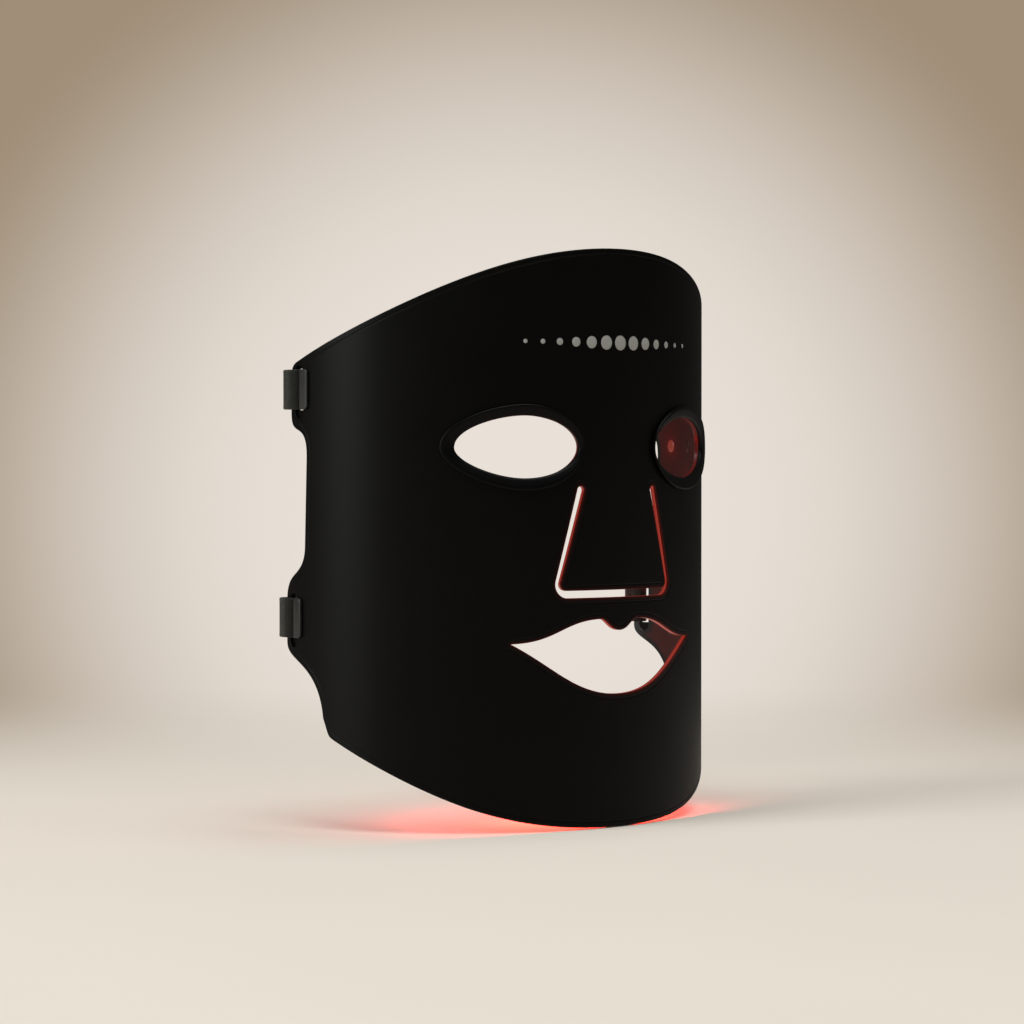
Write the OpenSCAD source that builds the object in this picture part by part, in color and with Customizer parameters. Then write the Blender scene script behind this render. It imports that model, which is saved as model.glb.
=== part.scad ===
// Face mask with built-in lights: a flexible silicone sheet bent around the face.
// A black outer skin, a flexible circuit with its lights and a clear inner liner lie on each other.
// The face looks along -Y, the wearer's left is +X, up is +Z, and the mask stands on its chin.
// "Arc" lengths run along the outer surface from the centre line; "depth" runs inwards from it.

/* [Face curve] */
// Radius of the outer surface across the front of the face
front_r = 107; // [90:1:130]
// Turn of the sheet from the centre line to the end of the front curve, degrees
front_turn = 31; // [26:1:36]
// Radius over the cheek
cheek_r = 89; // [74:1:107]
// Turn over the cheek, degrees
cheek_turn = 24; // [18:1:30]
// Radius at the side of the head
side_r = 62; // [52:1:75]
// Turn at the side of the head, degrees
side_turn = 33; // [26:1:38]
// Radius behind the side, where the strap tabs wrap inwards
tab_r = 44; // [37:1:53]

/* [Outline] */
// Height of the mask from chin to forehead
mask_h = 218; // [180:1:262]
// Arc length at which the top edge meets the upper strap tab
brow_end = 134; // [128:1:137]
// Height of the top edge where it meets the upper strap tab
brow_end_z = 176; // [174:0.5:182]
// Arc length of the rear edge of the upper strap tab
upper_tab_arc = 139.6; // [138:0.2:150]
// Arc length of the rear edge of the lower strap tab
lower_tab_arc = 143.4; // [141:0.2:155]
// Arc length of the ear cut-out's edge
ear_arc = 130.2; // [120:0.2:131]
// Heights at which the ear cut-out runs straight, lower and upper
ear_z = [106, 139]; // [100:0.5:150]
// Rear lower corner: arc length and height
jaw_corner = [118.6, 35]; // [30:0.2:125]

/* [Wall] */
// Thickness of the black outer skin
skin_t = 0.8; // [0.6:0.05:1]
// Thickness of the flexible circuit
circuit_t = 0.2; // [0.1:0.05:0.3]
// Thickness of the clear inner liner
liner_t = 1.4; // [1.2:0.1:1.8]
// Distance that the circuit keeps from every edge of the mask
circuit_margin = 4; // [3:0.5:5]

/* [Eyes] */
// Arc length of the eye opening's highest point
eye_arc = 42; // [40:0.5:45]
// Height of the eye opening's widest line
eye_z = 143; // [138:0.5:148]
// Reach of the opening towards the temple and towards the nose
eye_reach = [27, 22.3]; // [18:0.1:30]
// Reach of the opening above and below its widest line
eye_open = [12.2, 11.7]; // [9:0.1:14.5]
// Width of the raised rim at the temple, at the nose, above and below
rim_w = [5, 1.6, 4, 4.4]; // [1.4:0.1:6]
// Height of the rim above the skin
rim_proud = 1.6; // [1:0.1:2.4]

/* [Nose flap] */
// Height of the line about which the flap swings
flap_z = 128.6; // [126:0.2:129]
// Half widths of the flap at its top and bottom
flap_half = [16.6, 28.2]; // [15:0.2:30]
// Height of the flap's lower edge
flap_low_z = 89.5; // [88:0.5:92]
// Radius of the flap's lower corners
flap_corner_r = 2.4; // [2:0.2:5]
// Width of the slot beside the flap at its top and bottom
slot_gap = [3.2, 2.8]; // [1:0.1:3.6]
// Angle that the flap can be pushed inwards, degrees
flap_inward = 8; // [4:1:12]

/* [Mouth] */
// Half width of the mouth opening and the height of its corners
mouth_corner = [46, 70]; // [38:0.5:78]
// Upper lip: half distance between its peaks and their height
mouth_peak = [9, 78.6]; // [7:0.1:82]
// Height of the dip between the peaks
mouth_dip_z = 74.2; // [72:0.1:77]
// Height of the lower lip's lowest point
mouth_low_z = 50.2; // [44:0.1:58]

/* [Straps] */
// Width of the strap webbing
strap_w = 15; // [12:0.5:18]
// Thickness of the strap webbing
strap_t = 1.2; // [1:0.1:1.4]
// Width of the bar of the tab that the strap loops around
bar_w = 3.2; // [2.8:0.1:3.8]
// Width of the strap slot
slot_w = 4.8; // [4.4:0.1:5.4]
// Length of slot left free at the ends of the strap, in all
slot_spare = 5; // [2:0.5:6]
// Height of the middle of the upper strap slot and of the lower one
slot_z = [163.9, 77.9]; // [70:0.1:170]
// Distance that the strap sits above the middle of its slot
strap_lift = 1; // [0:0.1:1]
// Reach of the loop behind the edge of its tab
loop_reach = 4.4; // [3.6:0.1:6]
// Width and thickness of the strap's smooth end tab
strap_end_size = [4.2, 1.2]; // [1:0.1:5]

/* [Wings] */
// Arc length of the line about which each side of the mask bends
bend_arc = 88; // [82:0.5:92]
// Angle that each side can close inwards, degrees
wing_close = 20; // [10:1:22]

/* [Lights] */
// Spacing of the lights along the arc and upwards
led_pitch = [16, 15]; // [13:0.5:20]
// Size of a light: along the arc, upwards and inwards
led_size = [3.5, 2.8, 0.7]; // [0.5:0.1:4]

/* [Cable inlet] */
// Arc length of the inlet's middle, in the left wing
inlet_arc = 105; // [103:0.5:107]
// Height of the inlet's lower face
inlet_z = 33.5; // [33:0.5:38]
// Size of the inlet housing: along the arc, inwards from the liner, and upwards
inlet_size = [15, 6.6, 15]; // [6:0.1:18]
// Size of the socket's mouth: width, thickness and length
socket_size = [8.9, 3.2, 7]; // [3:0.1:10]

/* [Hidden] */
$fn = 48;
SIDES = ["right", "left"];
LEVELS = ["upper", "lower"];

degrees = 180 / PI;
wall_t = skin_t + circuit_t + liner_t;
gap = 0.3;            // clearance between pieces that move past each other
fit_gap = 0.05;       // clearance around a light, and under it for its solder
step = 3;             // spacing of the points along the sheet's plan curve
far = 200;            // beyond every edge of the mask
curve_n = 10;         // pieces in which a Bezier curve is drawn
outline_split = 64;   // arc length at which cuts change from front to side direction

// ---- The sheet's plan curve: four tangent arcs on each side -------------------------------

front_len = front_r * front_turn / degrees;
cheek_len = front_len + cheek_r * cheek_turn / degrees;
side_len = cheek_len + side_r * side_turn / degrees;
cheek_heading = front_turn + cheek_turn;
side_heading = cheek_heading + side_turn;

function toward(heading) = [sin(heading), -cos(heading)];

front_centre = [0, front_r];
cheek_centre = front_centre + (front_r - cheek_r) * toward(front_turn);
side_centre = cheek_centre + (cheek_r - side_r) * toward(cheek_heading);
tab_centre = side_centre + (side_r - tab_r) * toward(side_heading);

// Direction of the outward normal at an arc length, degrees from straight ahead.
function heading(arc) =
    arc < front_len ? arc / front_r * degrees :
    arc < cheek_len ? front_turn + (arc - front_len) / cheek_r * degrees :
    arc < side_len ? cheek_heading + (arc - cheek_len) / side_r * degrees :
    side_heading + (arc - side_len) / tab_r * degrees;

function centre_at(arc) =
    arc < front_len ? front_centre :
    arc < cheek_len ? cheek_centre :
    arc < side_len ? side_centre : tab_centre;

function radius_at(arc) =
    arc < front_len ? front_r :
    arc < cheek_len ? cheek_r :
    arc < side_len ? side_r : tab_r;

function left_point(arc, depth) = centre_at(arc) + (radius_at(arc) - depth) * toward(heading(arc));

// The origin lies under the middle of the mask's depth, from the eye rims back to the strap loops.
loop_inner_r = norm([bar_w, wall_t]) / 2 + gap;
loop_outer_r = loop_inner_r + strap_t;
loop_straight = bar_w / 2 + loop_reach - loop_outer_r;

function tab_arc(level) = level == "upper" ? upper_tab_arc : lower_tab_arc;
function level_z(level) = level == "upper" ? slot_z[0] : slot_z[1];
function bar_middle(level) = tab_arc(level) - bar_w / 2;
function slot_middle(level) = tab_arc(level) - bar_w - slot_w / 2;
function loop_back(level) =
    left_point(bar_middle(level), wall_t / 2)[1] + loop_straight * sin(heading(bar_middle(level))) + loop_outer_r;

frontmost = min(0, left_point(eye_arc - eye_reach[1] - rim_w[1], -rim_proud)[1]);
rearmost = max(loop_back("upper"), loop_back("lower"));
origin_y = (frontmost + rearmost) / 2;

// Plan position of a point of the sheet; negative arc lengths lie on the wearer's right.
function plan(arc, depth) =
    let (p = left_point(abs(arc), depth) - [0, origin_y])
    arc < 0 ? [-p[0], p[1]] : p;

// Arc lengths from one end of a stretch to the other, at every multiple of step in between.
function stations(from, to) = concat(
    [from],
    [for (i = [floor(from / step) + 1 : ceil(to / step) - 1]) i * step],
    [to]);

// A vertical wall between two depths. Its ends may differ at the outer and the inner depth.
module wall(depths, from, to) {
    outer = [for (a = stations(from[0], to[0])) plan(a, depths[0])];
    inner = [for (a = stations(from[1], to[1])) plan(a, depths[1])];
    back = [for (i = [len(inner) - 1 : -1 : 0]) inner[i]];
    translate([0, 0, -20]) linear_extrude(mask_h + 40) polygon(concat(outer, back));
}

// ---- Outline curves, as lists of [arc, z] points -------------------------------------------

function bezier(p, n = curve_n) = [for (i = [0 : n])
    let (t = i / n, u = 1 - t)
    u * u * u * p[0] + 3 * u * u * t * p[1] + 3 * u * t * t * p[2] + t * t * t * p[3]];

// The points of a corner rounded with a radius, for a path that goes from a by c to b.
function rounded(a, c, b, r, n = 6) =
    let (
        to_a = (a - c) / norm(a - c),
        to_b = (b - c) / norm(b - c),
        half = acos(to_a * to_b) / 2,
        run = r / tan(half),
        mid = (to_a + to_b) / norm(to_a + to_b),
        o = c + mid * r / sin(half),
        start = c + to_a * run - o,
        end = c + to_b * run - o,
        sweep = 180 - 2 * half)
    [for (i = [0 : n]) o + (start * sin(sweep * (n - i) / n) + end * sin(sweep * i / n)) / sin(sweep)];

// Moves each point of a counter-clockwise loop inwards by d. Where a bend is tighter than d the
// moved loop would curl and run backwards, so the points of the curl are left out.
function inset(points, d) =
    let (
        n = len(points),
        moved = [for (i = [0 : n - 1])
            let (
                along = points[(i + 1) % n] - points[(i + n - 1) % n],
                left = [-along[1], along[0]] / norm(along))
            points[i] + d * left],
        onward = [for (i = [0 : n - 1])
            (moved[(i + 1) % n] - moved[i]) * (points[(i + 1) % n] - points[i]) >= 0])
    [for (i = [0 : n - 1]) if (onward[i] && onward[(i + n - 1) % n]) moved[i]];

function without_first(points) = [for (i = [1 : len(points) - 1]) points[i]];
function reversed(points) = [for (i = [len(points) - 1 : -1 : 0]) points[i]];
function mirrored(points) = [for (i = [len(points) - 1 : -1 : 0]) [-points[i][0], points[i][1]]];

brow_rise = mask_h - brow_end_z;

// Top edge, from the middle of the forehead to the upper strap tab.
top_curve = bezier([
    [0, mask_h], [0.4 * brow_end, mask_h],
    [0.63 * brow_end, brow_end_z + 0.48 * brow_rise], [brow_end, brow_end_z]], 24);

// Bottom edge, from the middle of the chin to the rear lower corner.
bottom_curve = bezier([
    [0, 0], [0.44 * jaw_corner[0], 0],
    [0.61 * jaw_corner[0], 0.32 * jaw_corner[1]], jaw_corner], 24);

function top_z(arc) = lookup(abs(arc), top_curve);
function bottom_z(arc) = lookup(abs(arc), bottom_curve);

upper_slot_end = slot_z[0] - (strap_w + slot_spare) / 2;
lower_slot_end = slot_z[1] - (strap_w + slot_spare) / 2;
lower_slot_top = slot_z[1] + (strap_w + slot_spare) / 2;

// Rear edge of the wing, from the rear lower corner up to the top edge.
rear_curve = concat(
    rounded(bottom_curve[23], jaw_corner, jaw_corner + [2.6, 7], 4),
    bezier([
        jaw_corner + [2.7, 7], jaw_corner + [5.3, 30],
        [lower_tab_arc, lower_slot_end - 6], [lower_tab_arc, lower_slot_end + 2]]),
    bezier([
        [lower_tab_arc, lower_slot_top - 3], [lower_tab_arc, lower_slot_top + 10],
        [ear_arc + 0.9, ear_z[0] - 13], [ear_arc + 0.6, ear_z[0]]]),
    bezier([
        [ear_arc - 0.4, ear_z[1]], [ear_arc - 0.9, ear_z[1] + 15.6],
        [upper_tab_arc, upper_slot_end - 8.4], [upper_tab_arc, upper_slot_end + 2]]),
    rounded([upper_tab_arc, upper_slot_end], [upper_tab_arc, brow_end_z - 2], [brow_end, brow_end_z], 5));

// The whole left half, counter-clockwise: bottom edge, rear edge, top edge back to the middle.
half_outline = concat(
    [for (i = [0 : 22]) bottom_curve[i]], rear_curve, reversed(top_curve));

module front_cut(margin) {
    low = [for (a = [4 : 4 : outline_split]) [plan(a, 0)[0], bottom_z(a) + margin]];
    high = [for (a = [outline_split : -4 : 4]) [plan(a, 0)[0], top_z(a) - margin]];
    u = plan(outline_split, 0)[0];
    half = concat(low, [[u, -far], [far, -far], [far, far + mask_h], [u, far + mask_h]], high);
    front_prism(concat([[0, margin]], half, [[0, mask_h - margin]], mirrored(half)));
}

module side_cut(margin) {
    kept = inset(half_outline, margin);
    rear = [for (p = kept) if (p[0] >= outline_split) [plan(p[0], 0)[1], p[1]]];
    v = plan(outline_split, 0)[1];
    from_low = bottom_z(outline_split) + margin;
    from_high = top_z(outline_split) - margin;
    loop = concat(
        [[v, from_low]], rear, [[v, from_high], [v, far + mask_h], [-far, far + mask_h], [-far, -far], [v, -far]]);
    rotate([90, 0, 90]) linear_extrude(2 * far, center = true) polygon(loop);
}

// ---- Openings --------------------------------------------------------------------------------

// Eye outline as [arc, z] points around the eye's own middle, grown by separate margins.
function eye_outline(grow_temple, grow_nose, grow_up, grow_down) =
    let (
        out = eye_reach[0] + grow_temple,
        in = -eye_reach[1] - grow_nose,
        up = eye_open[0] + grow_up,
        down = -eye_open[1] - grow_down)
    concat(
        without_first(bezier([[0, down], [0.45 * out, down], [out, 0.45 * down], [out, 0]])),
        without_first(bezier([[out, 0], [out, 0.6 * up], [0.4 * out, up], [0, up]])),
        without_first(bezier([[0, up], [0.42 * in, up], [in, 0.62 * up], [in, 0]])),
        without_first(bezier([[in, 0], [in, 0.45 * down], [0.6 * in, down], [0, down]])));

// Places its children on the sheet of the wearer's left: x along the arc, y upwards, z outwards.
module on_sheet(arc, depth, z) {
    p = plan(arc, depth);
    translate([p[0], p[1], z]) rotate([90, 0, heading(arc)]) children();
}

// Mirrors its children to the wearer's right where asked.
module on_side(side) {
    if (side == "right") mirror([1, 0, 0]) children();
    else children();
}

module eye_prism(grow = [0, 0, 0, 0]) {
    on_sheet(eye_arc, 0, eye_z)
        linear_extrude(40, center = true)
            polygon(eye_outline(grow[0], grow[1], grow[2], grow[3]));
}

module front_prism(points) {
    rotate([90, 0, 0]) linear_extrude(2 * far, center = true) polygon(points);
}

// Nose flap, or with its slot the hole that it hangs in: a trapezium with rounded lower corners.
function nose_outline(beside, below, r, top) =
    let (
        a = [flap_half[0] + beside[0], top],
        c = [flap_half[1] + beside[1], flap_low_z - below],
        half = rounded([0, c[1]], c, a, r))
    concat(half, [a], [[-a[0], a[1]]], mirrored(half));

module nose_hole(margin = 0) {
    front_prism(nose_outline(
        [slot_gap[0] + margin, slot_gap[1] + margin], slot_gap[1] + margin,
        flap_corner_r + slot_gap[1] + margin, flap_z + margin));
}

module nose_flap_cut(margin = 0) {
    intersection() {
        front_prism(nose_outline([-margin, -margin], -margin, max(flap_corner_r - margin, 1), flap_z));
        // The top slopes down towards the inside, so that the flap can swing inwards.
        translate([0, plan(0, 0)[1], flap_z - gap - margin])
            rotate([-flap_inward, 0, 0])
                translate([-far, -far, -far]) cube([2 * far, 2 * far, far]);
    }
}

function mouth_outline(m) =
    let (
        corner = mouth_corner + [1.5 * m, 0],
        peak = mouth_peak + [0, m],
        dip = [0, mouth_dip_z + m],
        low = [0, mouth_low_z - m],
        upper = concat(
            without_first(bezier([corner, [0.62 * corner[0], corner[1] + 0.4], [26, peak[1]], peak])),
            without_first(bezier([peak, [6.7, peak[1]], [4.4, dip[1]], dip]))),
        lower = without_first(bezier([low, [20.7, low[1]], [29, low[1] + 10.1], corner])),
        half = concat([low], lower, upper),
        inner = [for (i = [1 : len(half) - 2]) half[i]])
    concat(half, mirrored(inner));

module mouth_hole(margin = 0) {
    front_prism(mouth_outline(margin));
}

module front_openings(margin = 0) {
    for (side = SIDES) on_side(side) eye_prism([margin, margin, margin, margin]);
    nose_hole(margin);
    mouth_hole(margin);
}

// Strap slots: straight through the tabs, in the direction of the tab's own normal.
module slot_prism(level, margin = 0) {
    w = slot_w + 2 * margin;
    l = strap_w + slot_spare + 2 * margin;
    on_sheet(slot_middle(level), 0, level_z(level))
        linear_extrude(20, center = true)
            union() {
                square([w, l - w], center = true);
                translate([0, l / 2 - w / 2]) circle(d = w);
                translate([0, w / 2 - l / 2]) circle(d = w);
            }
}

// ---- Sheet pieces ----------------------------------------------------------------------------

module front_wall(depths, margin = 0) {
    end = bend_arc - margin;
    difference() {
        intersection() {
            wall(depths, [-end, -end], [end, end]);
            front_cut(margin);
            side_cut(margin);
        }
        front_openings(margin);
    }
}

// The wing's front end slopes away from the bend line, which leaves room for it to close.
function wing_start(depth) = bend_arc + gap + depth * tan(wing_close);

// A wing of the wearer's left.
module wing_wall(depths, margin = 0) {
    end = max(upper_tab_arc, lower_tab_arc) + 4;
    difference() {
        intersection() {
            wall(depths, [wing_start(depths[0]) + margin, wing_start(depths[1]) + margin], [end, end]);
            side_cut(margin);
        }
        for (level = LEVELS) slot_prism(level, margin);
    }
}

module nose_flap_wall(depths, margin = 0) {
    reach = flap_half[1] + 8;
    intersection() {
        wall(depths, [-reach, -reach], [reach, reach]);
        nose_flap_cut(margin);
    }
}

skin_depths = [0, skin_t];
circuit_depths = [skin_t, skin_t + circuit_t];
liner_depths = [skin_t, wall_t];
rubber = [0.07, 0.07, 0.07];
clear_red = [0.55, 0.12, 0.1];

// ---- Lights ----------------------------------------------------------------------------------

edge_clear = circuit_margin + led_size[0] / 2;

function in_oval(arc, z, middle, reach) =
    pow((arc - middle[0]) / (reach[0] + edge_clear), 2) + pow((z - middle[1]) / (reach[1] + edge_clear), 2) < 1;

eye_middle = [eye_arc + (eye_reach[0] - eye_reach[1]) / 2, eye_z];
mouth_middle = [0, (mouth_low_z + mouth_peak[1]) / 2];

function in_sheet(arc, z) = z > bottom_z(arc) + edge_clear + 1 && z < top_z(arc) - edge_clear - 1;

function in_opening(arc, z) =
    in_oval(arc, z, eye_middle, [(eye_reach[0] + eye_reach[1]) / 2, eye_open[0]]) ||
    in_oval(arc, z, mouth_middle, [mouth_corner[0], (mouth_peak[1] - mouth_low_z) / 2]) ||
    (arc < flap_half[1] + slot_gap[1] + edge_clear && z < flap_z + edge_clear + 1
        && z > flap_low_z - slot_gap[1] - edge_clear);

// Arc length that the lower part of the wing's rear edge leaves free at a height.
function rear_limit(z) = min(ear_arc, jaw_corner[0] + 0.3 * (z - jaw_corner[1])) - edge_clear - 1;

// Grid places as [arc, z, kind]; kind 0 is a red light and kind 1 an infrared one.
grid = [for (row = [0 : ceil(mask_h / led_pitch[1])], column = [0 : ceil(ear_arc / led_pitch[0])])
    [(column + 0.5) * led_pitch[0], (row + 0.6) * led_pitch[1], (row + column) % 2]];

front_places = [for (g = grid)
    if (g[0] < bend_arc - edge_clear && in_sheet(g[0], g[1]) && !in_opening(g[0], g[1])) g];

wing_places = [for (g = grid)
    if (g[0] > wing_start(wall_t) + edge_clear && g[0] < rear_limit(g[1]) && in_sheet(g[0], g[1])
        && !(abs(g[0] - inlet_arc) < inlet_size[0] / 2 + 3 && g[1] < inlet_z + inlet_size[2] + 3)) g];

nose_places = [for (z = [flap_low_z + 8 : led_pitch[1] * 0.8 : flap_z - 8]) [8, z, 0]];

module light(place, spare = 0) {
    base = skin_t + circuit_t + fit_gap - spare;
    size = [led_size[0] + 2 * spare, led_size[1] + 2 * spare, led_size[2] + 2 * spare];
    on_sheet(place[0], base, place[1])
        translate([-size[0] / 2, -size[1] / 2, -size[2]]) cube(size);
}

module lights(places, kind, spare = 0) {
    for (p = places) if (kind < 0 || p[2] == kind) light(p, spare);
}

// ---- Front of the mask -------------------------------------------------------------------------

module skin_front() {
    color(rubber) front_wall(skin_depths);
}

module circuit_front() {
    color("darkgoldenrod") front_wall(circuit_depths, circuit_margin);
}

module liner_front() {
    color(clear_red) difference() {
        front_wall(liner_depths);
        front_wall(circuit_depths, circuit_margin);
        for (side = SIDES) on_side(side) lights(front_places, -1, fit_gap);
    }
}

module red_leds_front() {
    color("red") for (side = SIDES) on_side(side) lights(front_places, 0);
}

module infrared_leds_front() {
    color("dimgray") for (side = SIDES) on_side(side) lights(front_places, 1);
}

module eye_rim(side) {
    beyond = 2 * max(rim_w);
    from = eye_arc - eye_reach[1] - beyond / 2;
    to = eye_arc + eye_reach[0] + beyond;
    color("black") on_side(side) difference() {
        intersection() {
            wall([-rim_proud, 0], [from, from], [to, to]);
            eye_prism(rim_w);
        }
        eye_prism();
    }
}

// ---- Nose flap ---------------------------------------------------------------------------------

module nose_flap_skin() {
    color(rubber) nose_flap_wall(skin_depths);
}

module nose_flap_circuit() {
    color("darkgoldenrod") nose_flap_wall(circuit_depths, circuit_margin);
}

module nose_flap_liner() {
    color(clear_red) difference() {
        nose_flap_wall(liner_depths);
        nose_flap_wall(circuit_depths, circuit_margin);
        for (side = SIDES) on_side(side) lights(nose_places, -1, fit_gap);
    }
}

module nose_flap_leds() {
    color("red") for (side = SIDES) on_side(side) lights(nose_places, 0);
}

// ---- Wings -------------------------------------------------------------------------------------

module wing_skin(side) {
    color(rubber) on_side(side) wing_wall(skin_depths);
}

module wing_circuit(side) {
    color("darkgoldenrod") on_side(side) wing_wall(circuit_depths, circuit_margin);
}

module wing_liner(side) {
    color(clear_red) on_side(side) difference() {
        wing_wall(liner_depths);
        wing_wall(circuit_depths, circuit_margin);
        lights(wing_places, -1, fit_gap);
    }
}

module wing_lights(side, kind) {
    color(kind == 0 ? "red" : "dimgray") on_side(side) lights(wing_places, kind);
}

// ---- Straps ------------------------------------------------------------------------------------

// Plan outline of a long hole with round ends, from the origin along x.
module long_round(r, reach) {
    union() {
        circle(r = r);
        translate([reach, 0]) circle(r = r);
        translate([0, -r]) square([reach, 2 * r]);
    }
}

// The loop runs around the tab's rear bar, concentric with it in the slot, and reaches behind it.
module strap_loop(level, side) {
    p = plan(bar_middle(level), wall_t / 2);
    color("dimgray") on_side(side)
        translate([p[0], p[1], level_z(level) + strap_lift - strap_w / 2])
            rotate([0, 0, heading(bar_middle(level))])
                linear_extrude(strap_w)
                    difference() {
                        long_round(loop_outer_r, loop_straight);
                        long_round(loop_inner_r, loop_straight);
                    }
}

// The strap's smooth end lies on the skin in front of the slot, with a foot down into the slot.
module strap_end(level, side) {
    foot_t = 0.8;
    w = strap_end_size[0];
    t = strap_end_size[1];
    r = 1.6;
    middle = slot_middle(level) - slot_w / 2 - w / 2 + foot_t + fit_gap;
    z = level_z(level) + strap_lift;
    color("gray") on_side(side) on_sheet(middle, 0, z) union() {
        linear_extrude(t) union() {
            translate([r - w / 2, -strap_w / 2]) square([w - r, strap_w]);
            translate([-w / 2, r - strap_w / 2]) square([r, strap_w - 2 * r]);
            translate([r - w / 2, r - strap_w / 2]) circle(r);
            translate([r - w / 2, strap_w / 2 - r]) circle(r);
        }
        translate([w / 2 - foot_t, 1 - strap_w / 2, -wall_t / 2]) cube([foot_t, strap_w - 2, wall_t / 2 + t / 2]);
    }
}

// ---- Cable inlet, inside the left wing -----------------------------------------------------------

inlet_wall = 1.4;
board_size = [inlet_size[0] - 2 * inlet_wall, 0.8, inlet_size[2] - socket_size[2] - inlet_wall];

// Places its children at the inlet: x along the arc, y inwards from the liner, z upwards.
module at_inlet() {
    p = plan(inlet_arc, wall_t);
    translate([p[0], p[1], inlet_z]) rotate([0, 0, heading(inlet_arc)]) children();
}

// Pill-shaped bar along z, standing on z = 0.
module pill(width, thick, length) {
    linear_extrude(length) union() {
        square([width - thick, thick], center = true);
        translate([(width - thick) / 2, 0]) circle(d = thick);
        translate([(thick - width) / 2, 0]) circle(d = thick);
    }
}

module inlet_housing() {
    socket_y = inlet_size[1] / 2;
    color("black") difference() {
        at_inlet() translate([-inlet_size[0] / 2, -1.5, 0]) cube([inlet_size[0], inlet_size[1] + 1.5, inlet_size[2]]);
        wall([-1, wall_t], [bend_arc, bend_arc], [ear_arc, ear_arc]);
        at_inlet() {
            translate([0, socket_y, -1]) pill(socket_size[0], socket_size[1], socket_size[2] + 1);
            translate([-board_size[0] / 2, inlet_wall, socket_size[2]])
                cube([board_size[0], inlet_size[1] - 2 * inlet_wall, board_size[2]]);
        }
    }
}

module inlet_socket() {
    shell_t = 0.3;
    color("silver") at_inlet() translate([0, inlet_size[1] / 2, 0]) difference() {
        pill(socket_size[0], socket_size[1], socket_size[2]);
        translate([0, 0, -1]) pill(socket_size[0] - 2 * shell_t, socket_size[1] - 2 * shell_t, socket_size[2] + 1 - shell_t);
    }
}

module inlet_tongue() {
    color("dimgray") at_inlet()
        translate([-3.3, inlet_size[1] / 2 - 0.35, 0.9]) cube([6.6, 0.7, socket_size[2] - 0.3 - 0.9]);
}

module inlet_board() {
    color("green") at_inlet()
        translate([-board_size[0] / 2, inlet_wall, socket_size[2]]) cube(board_size);
}

module inlet_chips() {
    chip = [2.6, 1, 2.2];
    rows = [0.7, board_size[2] - 0.7 - chip[2]];
    color("black") at_inlet()
        for (x = [-4.2, 0, 4.2], z = rows)
            translate([x - chip[0] / 2, inlet_wall + board_size[1], socket_size[2] + z]) cube(chip);
}

skin_front();
liner_front();
circuit_front();
red_leds_front();
infrared_leds_front();
eye_rim("right");  // eye_rim_right
eye_rim("left");  // eye_rim_left
nose_flap_skin();
nose_flap_liner();
nose_flap_circuit();
nose_flap_leds();
wing_skin("right");  // skin_right
wing_liner("right");  // liner_right
wing_circuit("right");  // circuit_right
wing_lights("right", 0);  // red_leds_right
wing_lights("right", 1);  // infrared_leds_right
wing_skin("left");  // skin_left
wing_liner("left");  // liner_left
wing_circuit("left");  // circuit_left
wing_lights("left", 0);  // red_leds_left
wing_lights("left", 1);  // infrared_leds_left
strap_end("upper", "right");  // strap_end_upper_right
strap_end("lower", "right");  // strap_end_lower_right
strap_end("upper", "left");  // strap_end_upper_left
strap_end("lower", "left");  // strap_end_lower_left
strap_loop("upper", "right");  // strap_loop_upper_right
strap_loop("lower", "right");  // strap_loop_lower_right
strap_loop("upper", "left");  // strap_loop_upper_left
strap_loop("lower", "left");  // strap_loop_lower_left
inlet_housing();
inlet_socket();
inlet_tongue();
inlet_board();
inlet_chips();
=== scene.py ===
# %% [markdown]
# # A face mask that shines red light on the skin
# The real object is one flexible sheet of silicone, bent around the face. A black outer skin, a
# film circuit with its lights and a clear inner liner lie on each other. Its sides end in tabs, and
# webbing is looped through the slots of the tabs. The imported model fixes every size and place, and
# this script only gives it its looks.

# %% Load the fixed frame
import math

import bmesh
import bpy
import numpy as np
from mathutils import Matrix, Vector
from mathutils.geometry import delaunay_2d_cdt


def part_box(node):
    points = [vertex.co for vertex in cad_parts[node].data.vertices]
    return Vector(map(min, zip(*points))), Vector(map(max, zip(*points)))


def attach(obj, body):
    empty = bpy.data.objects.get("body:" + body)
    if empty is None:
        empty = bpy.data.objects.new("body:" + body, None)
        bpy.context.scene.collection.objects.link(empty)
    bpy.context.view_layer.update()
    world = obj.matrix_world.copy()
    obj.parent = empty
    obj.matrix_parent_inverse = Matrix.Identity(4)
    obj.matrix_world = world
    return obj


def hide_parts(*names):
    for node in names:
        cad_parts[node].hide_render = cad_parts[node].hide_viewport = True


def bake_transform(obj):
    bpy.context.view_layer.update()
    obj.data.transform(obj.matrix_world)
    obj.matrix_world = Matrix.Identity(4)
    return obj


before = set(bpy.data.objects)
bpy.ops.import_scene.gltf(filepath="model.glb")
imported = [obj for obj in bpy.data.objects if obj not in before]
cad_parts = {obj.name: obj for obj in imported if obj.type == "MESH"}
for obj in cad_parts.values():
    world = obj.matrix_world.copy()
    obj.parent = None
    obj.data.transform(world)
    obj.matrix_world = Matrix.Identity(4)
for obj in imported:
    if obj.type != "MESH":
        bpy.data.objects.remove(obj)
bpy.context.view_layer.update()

# %% [markdown]
# ## The sheet's own measures
# A bent sheet is easiest to draw flat. Every point of it has an arc length along the outer
# surface from the centre line, a height, and a depth inwards from that surface. Seen from above,
# each side is four arcs that meet without a corner. All lengths here are millimetres, and they
# turn to metres only when a mesh is made.

# %% From arc length, height and depth to a place in the frame
MM = 0.001
RADII = np.array([107.0, 89.0, 62.0, 44.0])         # front, cheek, side of the head, tab
TURN_STARTS = np.radians([0.0, 31.0, 55.0, 88.0])   # heading of the normal where each arc starts
SKIN_T, WALL_T = 0.8, 2.4
MASK_H = 218.0
ORIGIN_Y = -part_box("skin_front")[0][1] / MM


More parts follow.
